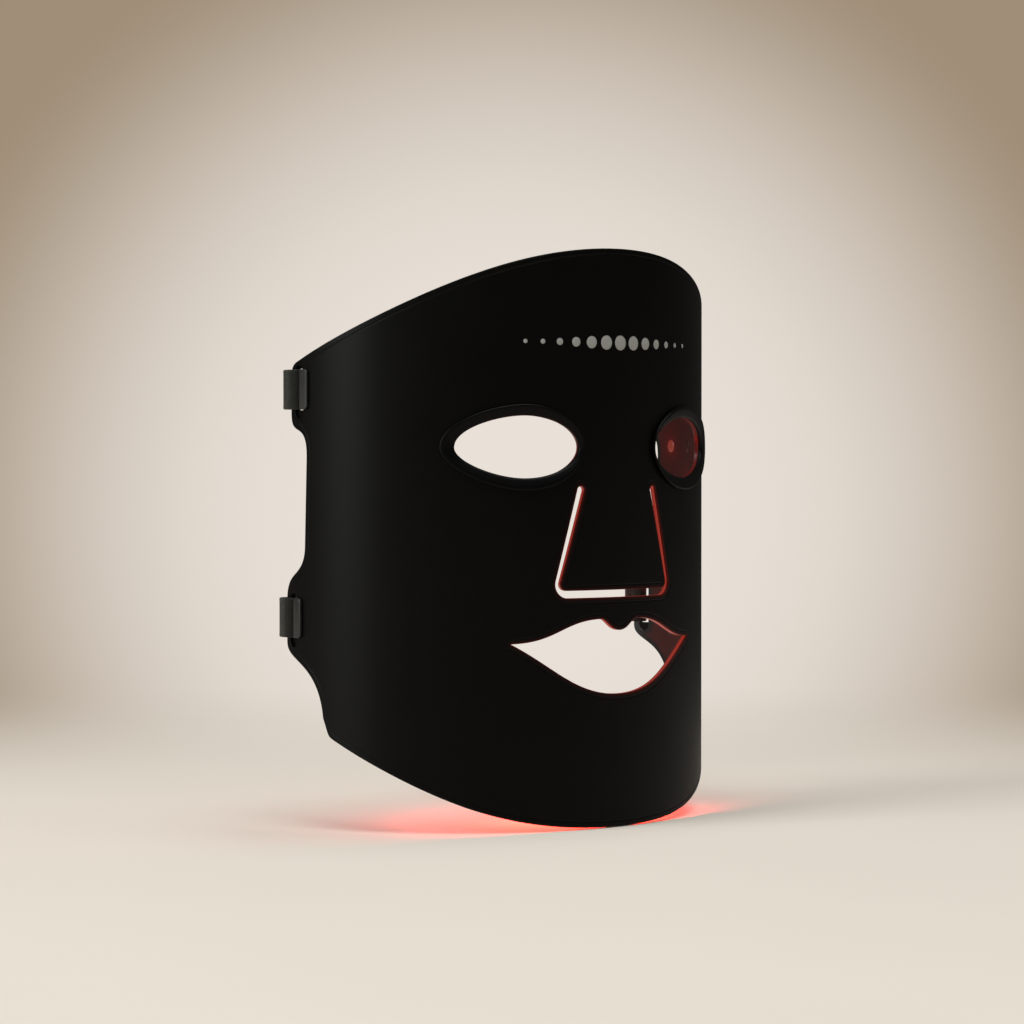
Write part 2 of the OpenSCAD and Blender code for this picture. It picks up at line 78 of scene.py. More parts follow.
def toward(heading):
    """Unit vector in plan at a heading from straight ahead: (sine, minus cosine)."""
    return np.stack([np.sin(heading), -np.cos(heading)], -1)


arc_lengths = RADII[:3] * np.diff(TURN_STARTS)
ARC_STARTS = np.concatenate([[0.0], np.cumsum(arc_lengths)])
steps = (RADII[:3] - RADII[1:])[:, None] * toward(TURN_STARTS[1:])
CENTRES = np.array([0.0, RADII[0]]) + np.concatenate([[[0.0, 0.0]], np.cumsum(steps, 0)])


def heading_at(arc):
    """Heading of the outward normal: the arc's first heading plus the length along it over its radius."""
    a = np.abs(arc)
    i = np.searchsorted(ARC_STARTS, a, side="right") - 1
    return np.where(arc < 0, -1, 1) * (TURN_STARTS[i] + (a - ARC_STARTS[i]) / RADII[i])


def plan(arc, depth=0.0):
    """Plan place: the arc's centre plus (its radius less the depth) toward the heading."""
    a = np.abs(arc)
    i = np.searchsorted(ARC_STARTS, a, side="right") - 1
    reach = (RADII[i] - depth)[..., None] * toward(TURN_STARTS[i] + (a - ARC_STARTS[i]) / RADII[i])
    p = CENTRES[i] + reach - [0.0, ORIGIN_Y]
    p[..., 0] *= np.where(arc < 0, -1, 1)
    return p


def place(arc, z, depth=0.0):
    """Points in metres, in the frame, for arrays of arc length, height and depth."""
    arc, z, depth = np.broadcast_arrays(np.asarray(arc, float), z, depth)
    return np.concatenate([plan(arc, depth), z[..., None]], -1) * MM


def sheet_normal(arc):
    """The sheet's outward normal in the frame."""
    flat = toward(heading_at(arc))
    return np.concatenate([flat, np.zeros_like(flat[..., :1])], -1)


ARCS = np.linspace(0.0, 120.0, 1201)
FRONT_X = plan(ARCS)[:, 0]


def arc_of_x(x):
    """Arc length of the point of the sheet that stands at x, seen from the front."""
    return np.sign(x) * np.interp(np.abs(x), FRONT_X, ARCS)


def arc_near(middle, u):
    """Arc length of the point that stands u beside a middle, seen along the sheet's normal there."""
    h = heading_at(np.array(middle))
    along = (plan(ARCS) - plan(np.array(middle))) @ np.array([np.cos(h), np.sin(h)])
    return np.interp(u, along, ARCS)


print("the sheet turns back towards the head from arc", round(float(ARC_STARTS[3]), 1), "mm")

# %% [markdown]
# ## Outlines
# Every edge is a handful of Bezier curves with rounded corners between them, which is how a
# cutting die for such a sheet is drawn. All edges run with the material on their left, so one rule
# finds the direction into the material.

# %% Curves, and the direction into the material


def bezier(*p, n=24):
    """Cubic curve: the four points weighted by the four Bernstein terms of t from 0 to 1."""
    t = np.linspace(0, 1, n + 1)[:, None]
    p = np.asarray(p, float)
    return (1 - t) ** 3 * p[0] + 3 * (1 - t) ** 2 * t * p[1] + 3 * (1 - t) * t**2 * p[2] + t**3 * p[3]


def rounded(a, c, b, r, n=8):
    """Arc of radius r that touches a-c and c-b: unit vectors from its centre, turned evenly."""
    a, c, b = (np.asarray(v, float) for v in (a, c, b))
    to_a, to_b = (a - c) / np.linalg.norm(a - c), (b - c) / np.linalg.norm(b - c)
    half = math.acos(to_a @ to_b) / 2
    middle = c + (to_a + to_b) / np.linalg.norm(to_a + to_b) * r / math.sin(half)
    start, end = (c + v * r / math.tan(half) - middle for v in (to_a, to_b))
    sweep = math.pi - 2 * half
    t = np.linspace(0, 1, n + 1)[:, None]
    return middle + (start * np.sin(sweep * (1 - t)) + end * np.sin(sweep * t)) / math.sin(sweep)


def spaced(points, spacing):
    """The same line with points at even lengths along it."""
    length = np.concatenate([[0], np.cumsum(np.linalg.norm(np.diff(points, axis=0), axis=1))])
    t = np.linspace(0, length[-1], max(2, round(length[-1] / spacing)) + 1)
    return np.stack([np.interp(t, length, points[:, i]) for i in (0, 1)], 1)


def joined(*stretches):
    """One line from several, each starting where the last one ends."""
    return np.concatenate([stretches[0]] + [s[1:] for s in stretches[1:]])


def mirrored(points):
    """The same line on the other side of the centre line, run backwards."""
    return points[::-1] * [-1, 1]


def into_material(points, closed):
    """Unit vector to the left of the line's direction, by central differences."""
    if closed:
        along = np.roll(points, -1, 0) - np.roll(points, 1, 0)
    else:
        along = np.gradient(points, axis=0)
    left = np.stack([-along[:, 1], along[:, 0]], 1)
    return left / np.linalg.norm(left, axis=1, keepdims=True)


# %% The edges of the whole mask, on the wearer's left
BROW_END = np.array([134.0, 176.0])
JAW = np.array([118.6, 35.0])
TAB_ARC = {"upper": 139.6, "lower": 143.4}
SLOT_Z = {"upper": 163.9, "lower": 77.9}
SLOT_LENGTH, SLOT_W, BAR_W = 20.0, 4.8, 3.2
LOW_SLOT = [SLOT_Z["lower"] - SLOT_LENGTH / 2, SLOT_Z["lower"] + SLOT_LENGTH / 2]
HIGH_SLOT_END = SLOT_Z["upper"] - SLOT_LENGTH / 2

top_curve = bezier(
    [0, MASK_H], [0.4 * BROW_END[0], MASK_H],
    [0.63 * BROW_END[0], BROW_END[1] + 0.48 * (MASK_H - BROW_END[1])], BROW_END, n=200)
bottom_curve = bezier(
    [0, 0], [0.44 * JAW[0], 0], [0.61 * JAW[0], 0.32 * JAW[1]], JAW, n=200)
rear_line = np.concatenate([
    rounded(bottom_curve[190], JAW, JAW + [2.6, 7], 4),
    bezier(JAW + [2.7, 7], JAW + [5.3, 30],
           [TAB_ARC["lower"], LOW_SLOT[0] - 6], [TAB_ARC["lower"], LOW_SLOT[0] + 2]),
    bezier([TAB_ARC["lower"], LOW_SLOT[1] - 3], [TAB_ARC["lower"], LOW_SLOT[1] + 10],
           [131.1, 93], [130.8, 106]),
    bezier([129.8, 139], [129.3, 154.6],
           [TAB_ARC["upper"], HIGH_SLOT_END - 8.4], [TAB_ARC["upper"], HIGH_SLOT_END + 2]),
    rounded([TAB_ARC["upper"], HIGH_SLOT_END], [TAB_ARC["upper"], BROW_END[1] - 2], BROW_END, 5),
])


def bottom_z(arc):
    """Height of the bottom edge at an arc length."""
    return np.interp(np.abs(arc), bottom_curve[:, 0], bottom_curve[:, 1])


def top_z(arc):
    """Height of the top edge at an arc length."""
    return np.interp(np.abs(arc), top_curve[:, 0], top_curve[:, 1])


# %% Eye, nose and mouth outlines
EYE = np.array([42.0, 143.0])
EYE_REACH = dict(temple=27.0, nose=-22.3, up=12.2, down=-11.7)
RIM_W = dict(temple=5.0, nose=-1.6, up=4.0, down=-4.4)


def eye_loop(grown=0.0):
    """Flat outline around the eye's middle: four quarter curves, grown by a share of the rim's width."""
    out, inn, up, down = (EYE_REACH[k] + grown * RIM_W[k] for k in ("temple", "nose", "up", "down"))
    quarters = [
        bezier([0, down], [0.45 * out, down], [out, 0.45 * down], [out, 0]),
        bezier([out, 0], [out, 0.6 * up], [0.4 * out, up], [0, up]),
        bezier([0, up], [0.42 * inn, up], [inn, 0.62 * up], [inn, 0]),
        bezier([inn, 0], [inn, 0.45 * down], [0.6 * inn, down], [0, down]),
    ]
    return joined(*quarters)[:-1]


def on_eye(flat):
    """Arc length and height of flat points around the eye."""
    return np.stack([arc_near(EYE[0], flat[:, 0]), EYE[1] + flat[:, 1]], 1)


FLAP_SEAM_Z, FLAP_LOW_Z, FLAP_TOP_Z = 127.0, 89.5, 128.6
FLAP_HALF = [28.2, 16.6]
SLOT_GAP = [2.8, 3.2]


def flap_half(z):
    """Half the flap's width at a height, seen from the front: straight between its two ends."""
    return np.interp(z, [FLAP_LOW_Z, FLAP_TOP_Z], FLAP_HALF)


def slot_gap(z):
    """Width of the open slot beside the flap at a height."""
    return np.interp(z, [FLAP_LOW_Z, FLAP_TOP_Z], SLOT_GAP)


def nose_edge(gap, corner_r):
    """Half edge from the middle below, round the lower corner and up to the seam at the bridge."""
    low = FLAP_LOW_Z - gap * SLOT_GAP[0]
    corner = [flap_half(FLAP_LOW_Z) + gap * SLOT_GAP[0], low]
    top = [flap_half(FLAP_SEAM_Z) + gap * slot_gap(FLAP_SEAM_Z), FLAP_SEAM_Z]
    half = np.concatenate([[[0.0, low]], rounded([0, low], corner, top, corner_r), [top]])
    return spaced(half, 1.2)


slot_end_r = slot_gap(FLAP_SEAM_Z) / 2
slot_end_x = flap_half(FLAP_SEAM_Z) + slot_end_r
turn = np.linspace(0, math.pi, 13)[:, None]
slot_end = np.concatenate([
    slot_end_x + slot_end_r * np.cos(turn), FLAP_SEAM_Z + slot_end_r * np.sin(turn)], 1)
hole_half = joined(nose_edge(1, 5.2), slot_end)
nose_hole_line = joined(hole_half[::-1], hole_half * [-1, 1])
flap_half_line = nose_edge(0, 2.4)
flap_line = joined(mirrored(flap_half_line), flap_half_line)

lower_lip = bezier([0, 50.2], [20.7, 50.2], [29, 60.3], [46, 70])
upper_lip = joined(
    bezier([46, 70], [28.5, 70.4], [26, 78.6], [9, 78.6]),
    bezier([9, 78.6], [6.7, 78.6], [4.4, 74.2], [0, 74.2]))


def mouth_loop():
    """Lower lip, upper lip, and the same two mirrored, with points 1 mm apart."""
    half = joined(spaced(lower_lip, 1.0), spaced(upper_lip, 1.0))
    return joined(half, mirrored(half))[:-1]


def in_arcs(points):
    """Turns the x of points drawn from the front into arc length."""
    return np.stack([arc_of_x(points[:, 0]), points[:, 1]], 1)


print("mouth outline of", len(mouth_loop()), "points")

# %% [markdown]
# ## From an outline to a skin
# A sheet with holes could be cut from a grid with booleans, but that leaves ragged shading beside
# every cut. Here each edge is first walked round with narrow rings of points, close together where
# the edge is rounded and where a shallow moulded line runs beside it. The space between is filled
# with a plain grid, and a constrained Delaunay triangulation ties everything together in the flat.
# The flat mesh is then bent: its depth and its exact normal come from the ring that each point is on.

# %% Rings beside an edge
ROUND_TURNS = np.radians([90.0, 65.0, 40.0, 20.0, 0.0])
LINE_HALF, LINE_DEPTH = 0.4, 0.13
PERIMETER, OPENING, EYE_EDGE, SLOT_EDGE = 1, 2, 3, 4    # kinds of edge


def ring_profile(round_r, rings, line_at=None):
    """One row per ring: reach, depth and lean of the rounding, then depth and lean of the moulded
    line. Rounding: reach = r(1 - sin), depth = r(1 - cos), lean = sin. The line is one raised
    cosine across."""
    turned = len(ROUND_TURNS)
    rows = np.zeros((turned + len(rings), 5))
    rows[:turned, 0] = round_r * (1 - np.sin(ROUND_TURNS))
    rows[:turned, 1] = round_r * (1 - np.cos(ROUND_TURNS))
    rows[:turned, 2] = np.sin(ROUND_TURNS)
    rows[turned:, 0] = rings
    if line_at is not None:
        x = np.clip((rows[:, 0] - line_at) / LINE_HALF, -1, 1)
        slope = LINE_DEPTH * math.pi / (2 * LINE_HALF) * np.sin(math.pi * x)
        rows[:, 3] = LINE_DEPTH * (1 + np.cos(math.pi * x)) / 2
        rows[:, 4] = slope / np.sqrt(1 + slope**2)
    return rows


def edge(line, rows, closed=True, kind=0.0, seams=(None, None)):
    """An edge with its rings, as [point, ring, fact]. The ten facts are arc, z, the way into the
    material (2), the five of the ring profile, and the kind of edge. At a seam the rings run
    straight along it, so that they meet the next piece's."""
    way = into_material(line, closed)
    stretch = np.ones(len(line))
    for i, along in zip((0, -1), seams):
        if along is not None:
            stretch[i] = 1 / max(0.5, way[i] @ along)
            way[i] = along
    facts = np.zeros((len(line), len(rows), 10))
    facts[..., 2:4] = way[:, None]
    facts[..., 4:9] = rows
    facts[..., 9] = kind
    facts[..., :2] = line[:, None] + (way * stretch[:, None])[:, None] * rows[None, :, :1]
    return facts


def inside(points, loops):
    """Even-odd rule: a ray along the arc from a point inside crosses the loops an odd number of times."""
    odd = np.zeros(len(points), bool)
    x, y = points[:, None, 0], points[:, None, 1]
    for loop in loops:
        a, b = loop, np.roll(loop, -1, 0)
        for i in range(0, len(a), 64):
            p, q = a[None, i:i + 64], b[None, i:i + 64]
            spans = (p[..., 1] > y) != (q[..., 1] > y)
            rise = np.where(q[..., 1] == p[..., 1], 1e-12, q[..., 1] - p[..., 1])
            cross = x < p[..., 0] + (y - p[..., 1]) * (q[..., 0] - p[..., 0]) / rise
            odd ^= (spans & cross).sum(1) % 2 == 1
    return odd


def nearest(points, targets):
    """Distance from each point to the nearest target."""
    best = np.full(len(points), np.inf)
    for i in range(0, len(targets), 256):
        gap = points[:, None] - targets[None, i:i + 256]
        best = np.minimum(best, np.sqrt((gap**2).sum(-1)).min(1))
    return best


# %% The flat sheet
GRID = (2.5, 3.0)           # the filling's steps along the arc and upwards
CLEAR, SEAM_CLEAR = 3.6, 1.2    # the filling's distance from an edge and from a seam
NO_EDGE = 99.0              # reach of a point that belongs to no edge


def flat_sheet(edges, loops):
    """Triangulates a flat region. Each loop is a list of parts: a number stands for that edge's
    outermost ring, (number, point, direction) for the rings at one of its points, and an array for
    new seam points. Returns the points, the triangles and each point's ten facts."""
    facts = np.concatenate([e.reshape(-1, 10) for e in edges])
    starts = np.cumsum([0] + [e.shape[0] * e.shape[1] for e in edges])
    numbers = [s + np.arange(e.shape[0] * e.shape[1]).reshape(e.shape[:2])
               for s, e in zip(starts, edges)]
    runs = []
    for loop in loops:
        parts = []
        for part in loop:
            if isinstance(part, np.ndarray):
                new = np.zeros((len(part), 10))
                new[:, :2], new[:, 4] = part, NO_EDGE
                parts.append(len(facts) + np.arange(len(part)))
                facts = np.concatenate([facts, new])
            elif isinstance(part, tuple):
                parts.append(numbers[part[0]][part[1], ::part[2]])
            else:
                parts.append(numbers[part][:, 0])
        run = np.concatenate(parts)
        run = run[np.concatenate([[True], np.diff(run) != 0])]
        runs.append(run[:-1] if run[0] == run[-1] else run)
    tied = np.concatenate(runs)
    outlines = [facts[r, :2] for r in runs]

    # A ring point that lies closer to another edge than to its own is left out.
    keep = np.ones(len(facts), bool)
    for i, own in enumerate(numbers):
        others = [e[:, 0, :2] for j, e in enumerate(edges) if j != i]
        if others:
            own = own.ravel()
            keep[own] = nearest(facts[own, :2], np.concatenate(others)) > facts[own, 4] + 0.05
    keep[tied] = True
    low, high = facts[:, :2].min(0), facts[:, :2].max(0)
    axes = [np.arange(low[i] + GRID[i] / 2, high[i], GRID[i]) for i in (0, 1)]
    grid = np.stack(np.meshgrid(*axes), -1).reshape(-1, 2)
    lines = np.concatenate([e[:, 0, :2] for e in edges])
    seam = facts[facts[:, 4] == NO_EDGE, :2]
    fits = inside(grid, outlines) & (nearest(grid, lines) > CLEAR) & (nearest(grid, seam) > SEAM_CLEAR)
    filling = np.zeros((fits.sum(), 10))
    filling[:, :2], filling[:, 4] = grid[fits], NO_EDGE
    new_number = np.cumsum(keep) - 1
    ties = np.concatenate([np.stack([new_number[r], np.roll(new_number[r], -1)], 1) for r in runs])
    facts = np.concatenate([facts[keep], filling])

    made = delaunay_2d_cdt([Vector(p) for p in facts[:, :2]], ties.tolist(), [], 0, 1e-5, True)
    verts = np.array([v[:] for v in made[0]])
    source = np.array([ids[0] if ids else -1 for ids in made[3]])
    for i in np.flatnonzero(source < 0):
        source[i] = np.argmin(((facts[:, :2] - verts[i]) ** 2).sum(1))
    corners = np.array(made[2])
    corners = corners[inside(verts[corners].mean(1), outlines)]
    a, b, c = (verts[corners[:, i]] for i in range(3))
    area = (b[:, 0] - a[:, 0]) * (c[:, 1] - a[:, 1]) - (b[:, 1] - a[:, 1]) * (c[:, 0] - a[:, 0])
    corners, area = corners[np.abs(area) > 1e-9], area[np.abs(area) > 1e-9]
    corners[area < 0] = corners[area < 0][:, ::-1]
    used, corners = np.unique(corners, return_inverse=True)
    return verts[used], corners.reshape(-1, 3), facts[source[used]]


# %% Bending a flat sheet


def mesh_object(name, verts, faces, normals=None):
    """A mesh object from an array of points in metres and a list of arrays of faces."""
    mesh = bpy.data.meshes.new(name)
    mesh.from_pydata(verts.tolist(), [], [f for part in faces for f in part.tolist()])
    mesh.update()
    mesh.shade_smooth()
    if normals is not None:
        mesh.normals_split_custom_set_from_vertices(normals.tolist())
    obj = bpy.data.objects.new(name, mesh)
    bpy.context.scene.collection.objects.link(obj)
    return obj


def point_fact(obj, name, values):
    """Stores one number on each point, for the material to read."""
    layer = obj.data.attributes.new(name, "FLOAT", "POINT")
    layer.data.foreach_set("value", np.asarray(values, np.float32))


def flat_map(obj, flat):
    """Stores each point's flat place, in metres, as the piece's own UV map."""
    corner = np.zeros(len(obj.data.loops), np.int32)
    obj.data.loops.foreach_get("vertex_index", corner)
    layer = obj.data.uv_layers.new(name="flat")
    layer.data.foreach_set("uv", (flat[corner] * MM).astype(np.float32).ravel())


def bent_sheet(name, flat, outer, inner, mirror=False):
    """Bends a flat mesh into a closed sheet between two layers, each a depth and a lean for every
    point. A layer's normal is the sheet's own, times the cosine of the lean, less the way into the
    material times its sine. The inner layer starts from the opposite normal. Walls join the layers
    at every edge."""
    verts, corners, facts = flat
    n = len(verts)
    arc, z = verts.T
    head = heading_at(arc)
    way = facts[:, 2:3] * np.stack([np.cos(head), np.sin(head), 0 * head], 1)
    way = way + facts[:, 3:4] * [0.0, 0.0, 1.0]

    def leaning(base, lean):
        return base * np.sqrt(np.clip(1 - lean**2, 0, 1))[:, None] - way * lean[:, None]

    points = np.concatenate([place(arc, z, outer[0]), place(arc, z, inner[0])])
    normals = np.concatenate([
        leaning(sheet_normal(arc), outer[1]), leaning(-sheet_normal(arc), inner[1])])
    sides = np.concatenate([corners[:, [0, 1]], corners[:, [1, 2]], corners[:, [2, 0]]])
    key = np.sort(sides, 1)
    _, where, count = np.unique(key[:, 0] * n + key[:, 1], return_inverse=True, return_counts=True)
    rim = sides[count[where.ravel()] == 1]
    walls = np.stack([rim[:, 1], rim[:, 0], rim[:, 0] + n, rim[:, 1] + n], 1)
    faces = [corners, corners[:, ::-1] + n, walls]
    side = np.array([-1.0 if mirror else 1.0, 1.0, 1.0])
    if mirror:
        faces = [f[:, ::-1] for f in faces]
    obj = mesh_object(name, points * side, faces, normals * side)
    flat_map(obj, np.concatenate([verts, verts]) * side[:2])
    return obj


# %% The three flat meshes: front, wing and nose flap
SEAM_ARC, RING_BAND = 70.0, 3.6     # arc of the seam, and what the last ring of an edge leaves beside it
UP, DOWN, IN_LEFT, IN_RIGHT = (np.array(v, float) for v in ((0, 1), (0, -1), (-1, 0), (1, 0)))
outer_rows = ring_profile(0.5, [0.8, 1.3, 1.8, 2.0, 2.2, 2.4, 2.6, 3.0], 2.2)
opening_rows = ring_profile(0.3, [0.6, 1.0, 1.45, 1.65, 1.85, 2.05, 2.25, 2.8], 1.85)
eye_rows = ring_profile(0.3, [0.6, 1.2, 2.2])
slot_rows = ring_profile(0.3, [0.6, 1.0, 1.4])

front_arcs = np.linspace(-SEAM_ARC, SEAM_ARC, 109)
front_low = np.stack([front_arcs, bottom_z(front_arcs)], 1)
front_high = np.stack([front_arcs, top_z(front_arcs)], 1)[::-1]
seam_z = np.arange(bottom_z(SEAM_ARC) + 4.5, top_z(SEAM_ARC) - 4.0, 2.5)
seam_up = np.stack([np.full(len(seam_z), SEAM_ARC), seam_z], 1)
flap_seam_x = arc_of_x(flap_half(FLAP_SEAM_Z)) - RING_BAND
seam_x = np.linspace(-flap_seam_x, flap_seam_x, 13)
seam_right = np.stack([seam_x, np.full(len(seam_x), FLAP_SEAM_Z)], 1)

eye_hole = on_eye(eye_loop())[::-1]
front_edges = [
    edge(front_low, outer_rows, False, PERIMETER, (UP, UP)),
    edge(front_high, outer_rows, False, PERIMETER, (DOWN, DOWN)),
    edge(eye_hole, eye_rows, kind=EYE_EDGE),
    edge(mirrored(eye_hole), eye_rows, kind=EYE_EDGE),
    edge(in_arcs(mouth_loop())[::-1], opening_rows, kind=OPENING),
    edge(in_arcs(nose_hole_line), opening_rows, False, OPENING, (IN_LEFT, IN_RIGHT)),
]
front_loops = [
    [0, (0, -1, 1), seam_up, (1, 0, -1), 1, (1, -1, 1), mirrored(seam_up), (0, 0, -1)],
    [2], [3], [4], [5, (5, -1, 1), seam_right, (5, 0, -1)]]
front_flat = flat_sheet(front_edges, front_loops)

flap_edges = [edge(in_arcs(flap_line), opening_rows, False, OPENING, (IN_RIGHT, IN_LEFT))]
flap_flat = flat_sheet(flap_edges, [[0, (0, -1, 1), seam_right[::-1], (0, 0, -1)]])


def slot_line(level):
    """Clockwise pill: two half circles of the slot's half width, joined by straight sides."""
    r, run = SLOT_W / 2, SLOT_LENGTH / 2 - SLOT_W / 2
    turn = np.linspace(0, math.pi, 11)
    over = np.stack([-r * np.cos(turn), run + r * np.sin(turn)], 1)
    pill = np.concatenate([over, -over, over[:1]])
    return spaced(pill, 0.9)[:-1] + [TAB_ARC[level] - BAR_W - r, SLOT_Z[level]]


wing_line = spaced(np.concatenate([
    [[SEAM_ARC, bottom_z(SEAM_ARC)]], bottom_curve[:191][bottom_curve[:191, 0] > SEAM_ARC],
    rear_line, top_curve[::-1][top_curve[::-1, 0] > SEAM_ARC], [[SEAM_ARC, top_z(SEAM_ARC)]]]), 1.3)
wing_edges = [edge(wing_line, outer_rows, False, PERIMETER, (UP, DOWN))] + [
    edge(slot_line(level), slot_rows, kind=SLOT_EDGE) for level in TAB_ARC]
wing_flat = flat_sheet(wing_edges, [[0, (0, -1, 1), seam_up[::-1], (0, 0, -1)], [1], [2]])
for label, flat in (("front", front_flat), ("flap", flap_flat), ("wing", wing_flat)):
    print(label, len(flat[0]), "points,", len(flat[1]), "triangles")

# %% [markdown]
# ## Colours and nodes
# Colours are given as sRGB hex values, as a paint chart would, and one function turns them to the
# linear values that the shader wants. A single small helper adds any node with its settings, its
# values and its links, so that each finish reads as a short list.

# %% Two helpers for every finish


def paint(hex_value):
    """Linear RGBA of an sRGB hex colour: c / 12.92 below 0.04045, else ((c + 0.055) / 1.055) to the 2.4."""
    c = np.array([int(hex_value[i:i + 2], 16) for i in (0, 2, 4)]) / 255
    return (*np.where(c <= 0.04045, c / 12.92, ((c + 0.055) / 1.055) ** 2.4).tolist(), 1.0)


def add(tree, kind, inputs=(), **settings):
    """Adds a node, sets its properties, and fills its inputs with values or with other nodes' outputs."""
    made = tree.nodes.new("ShaderNode" + kind)
    for key, value in settings.items():
        setattr(made, key, value)
    for key, value in dict(inputs).items():
        if isinstance(value, bpy.types.NodeSocket):
            tree.links.new(value, made.inputs[key])
        else:
            made.inputs[key].default_value = value
    return made


def finish_named(name, **constants):
    """A material with its constant values set straight on the shader's own sockets."""
    material = bpy.data.materials.new(name)
    material.use_nodes = True
    tree = material.node_tree
    shader = tree.nodes["Principled BSDF"]
    for key, value in constants.items():
        shader.inputs[key.replace("_", " ")].default_value = value
    return material, tree, shader


def math_of(tree, operation, a, b=0.0):
    """One Math node's output."""
    return add(tree, "Math", {0: a, 1: b}, operation=operation).outputs[0]


def object_noise(tree, scale, detail=2.0, roughness=0.5):
    """Noise in the object's own space: scale is features per metre."""
    own_place = add(tree, "TexCoord").outputs["Object"]
    noise = {"Vector": own_place, "Scale": scale, "Detail": detail, "Roughness": roughness}
    return add(tree, "TexNoise", noise).outputs["Fac"]


def between(tree, factor, low, high):
    """Turns 0 to 1 into low to high."""
    return add(tree, "MapRange", {"Value": factor, "To Min": low, "To Max": high}).outputs[0]


def mixed(tree, factor, a, b):
    """A colour between two."""
    made = add(tree, "Mix", data_type="RGBA")
    for socket, value in zip((made.inputs[0], made.inputs[6], made.inputs[7]), (factor, a, b)):
        if isinstance(value, bpy.types.NodeSocket):
            tree.links.new(value, socket)
        else:
            socket.default_value = value
    return made.outputs[2]


def bump(tree, shader, height, distance, strength=1.0):
    """Bump with a real height in metres."""
    made = add(tree, "Bump", {"Height": height, "Distance": distance, "Strength": strength})
    tree.links.new(made.outputs[0], shader.inputs["Normal"])


def stored(tree, name):
    """A number stored on the mesh's points."""
    return add(tree, "Attribute", attribute_name=name).outputs["Fac"]


print("silicone black is linear", np.round(paint("101010"), 4).tolist())

# %% [markdown]
# ## Moulded black silicone
# Liquid silicone rubber cured in a fine-blasted steel mould. It is nearly black, so what the eye
# gets is the broad soft sheen at grazing light. The mould's blasting is far finer than the render
# can show, so a faint 0.4 mm grain stands for it. Beside each opening some red light from the
# liner passes through the thin edge.

# %% Skin finish
EDGE_GLOW = {"skin": 0.09, "liner": 0.33}   # strength of the red light that leaves each layer at an edge
moulded_silicone, tree, shader = finish_named(
    "moulded_black_silicone", Specular_IOR_Level=0.13, IOR=1.41)
cloud = object_noise(tree, 28, 3)
tree.links.new(mixed(tree, cloud, paint("010101"), paint("040403")), shader.inputs["Base Color"])
grain = object_noise(tree, 2500, 2)
roughness = math_of(tree, "ADD", between(tree, cloud, 0.40, 0.47), between(tree, grain, -0.02, 0.02))
tree.links.new(roughness, shader.inputs["Roughness"])
bump(tree, shader, grain, 0.00002, 0.35)
shader.inputs["Emission Color"].default_value = paint("FF3A26")
leak = math_of(tree, "MULTIPLY", stored(tree, "edge_light"), EDGE_GLOW["skin"])
tree.links.new(leak, shader.inputs["Emission Strength"])

# %% [markdown]
# The eye rims are the same rubber from a polished part of the mould, so their raised edge catches
# a sharper light.

# %% Rim finish
polished_silicone, tree, shader = finish_named(
    "satin_black_silicone", Specular_IOR_Level=0.12, IOR=1.41)
cloud = object_noise(tree, 60, 2)
tree.links.new(mixed(tree, cloud, paint("020202"), paint("060606")), shader.inputs["Base Color"])
tree.links.new(between(tree, cloud, 0.36, 0.42), shader.inputs["Roughness"])
bump(tree, shader, object_noise(tree, 2500, 2), 0.00001, 0.3)

# %% [markdown]
# The liner is clear silicone over the film circuit. Its base colour is a painted deep red-brown: the shade
# inside the mask, lit red by its lights. Lights lie behind it on a lattice, and their red light spreads in
# it as small round glows. The lattice is worked out from the
# piece's flat map: the distance to the middle of the nearest cell, in millimetres. Around the
# whole mask the liner is closed by a black skirt of the skin's own rubber.

# %% Liner finish
LED_PITCH = (16.0, 15.0)    # along the arc and upwards
LED_START = (8.0, 9.0)      # the first light of a side
SPOT, HALO = (2.0, 0.15), (6.0, 0.025)      # radius in millimetres and strength of a light's glow
HOT_R, HOT_EDGE = 1.7, 0.7                  # radius of the paler middle, and paleness at an edge
STRAY_LIGHT = 0.004                         # what reaches the liner between its lights


def cell_offset(tree, coordinate, pitch, start):
    """Offset from the middle of the nearest cell: wrapped to half a pitch either way."""
    shifted = math_of(tree, "SUBTRACT", coordinate, (start - pitch / 2) * MM)
    wrapped = add(tree, "Math", {0: shifted, 1: pitch * MM, 2: 0.0}, operation="WRAP").outputs[0]
    return math_of(tree, "SUBTRACT", wrapped, pitch / 2 * MM)


clear_silicone, tree, shader = finish_named(
    "clear_liner_silicone", Specular_IOR_Level=0.45, IOR=1.41)
flat_place = add(tree, "SeparateXYZ", {0: add(tree, "UVMap", uv_map="flat").outputs[0]})
across = cell_offset(tree, math_of(tree, "ABSOLUTE", flat_place.outputs[0]), LED_PITCH[0], LED_START[0])
upward = cell_offset(tree, flat_place.outputs[1], LED_PITCH[1], LED_START[1])
distance = math_of(tree, "SQRT", math_of(
    tree, "ADD", math_of(tree, "MULTIPLY", across, across), math_of(tree, "MULTIPLY", upward, upward)))


def glow(tree, distance, radius, strength):
    """Bell curve: strength times e to the minus (distance over radius) squared."""
    share = math_of(tree, "DIVIDE", distance, radius * MM)
    fall = math_of(tree, "MULTIPLY", math_of(tree, "MULTIPLY", share, share), -1.0)
    return math_of(tree, "MULTIPLY", math_of(tree, "POWER", math.e, fall), strength)


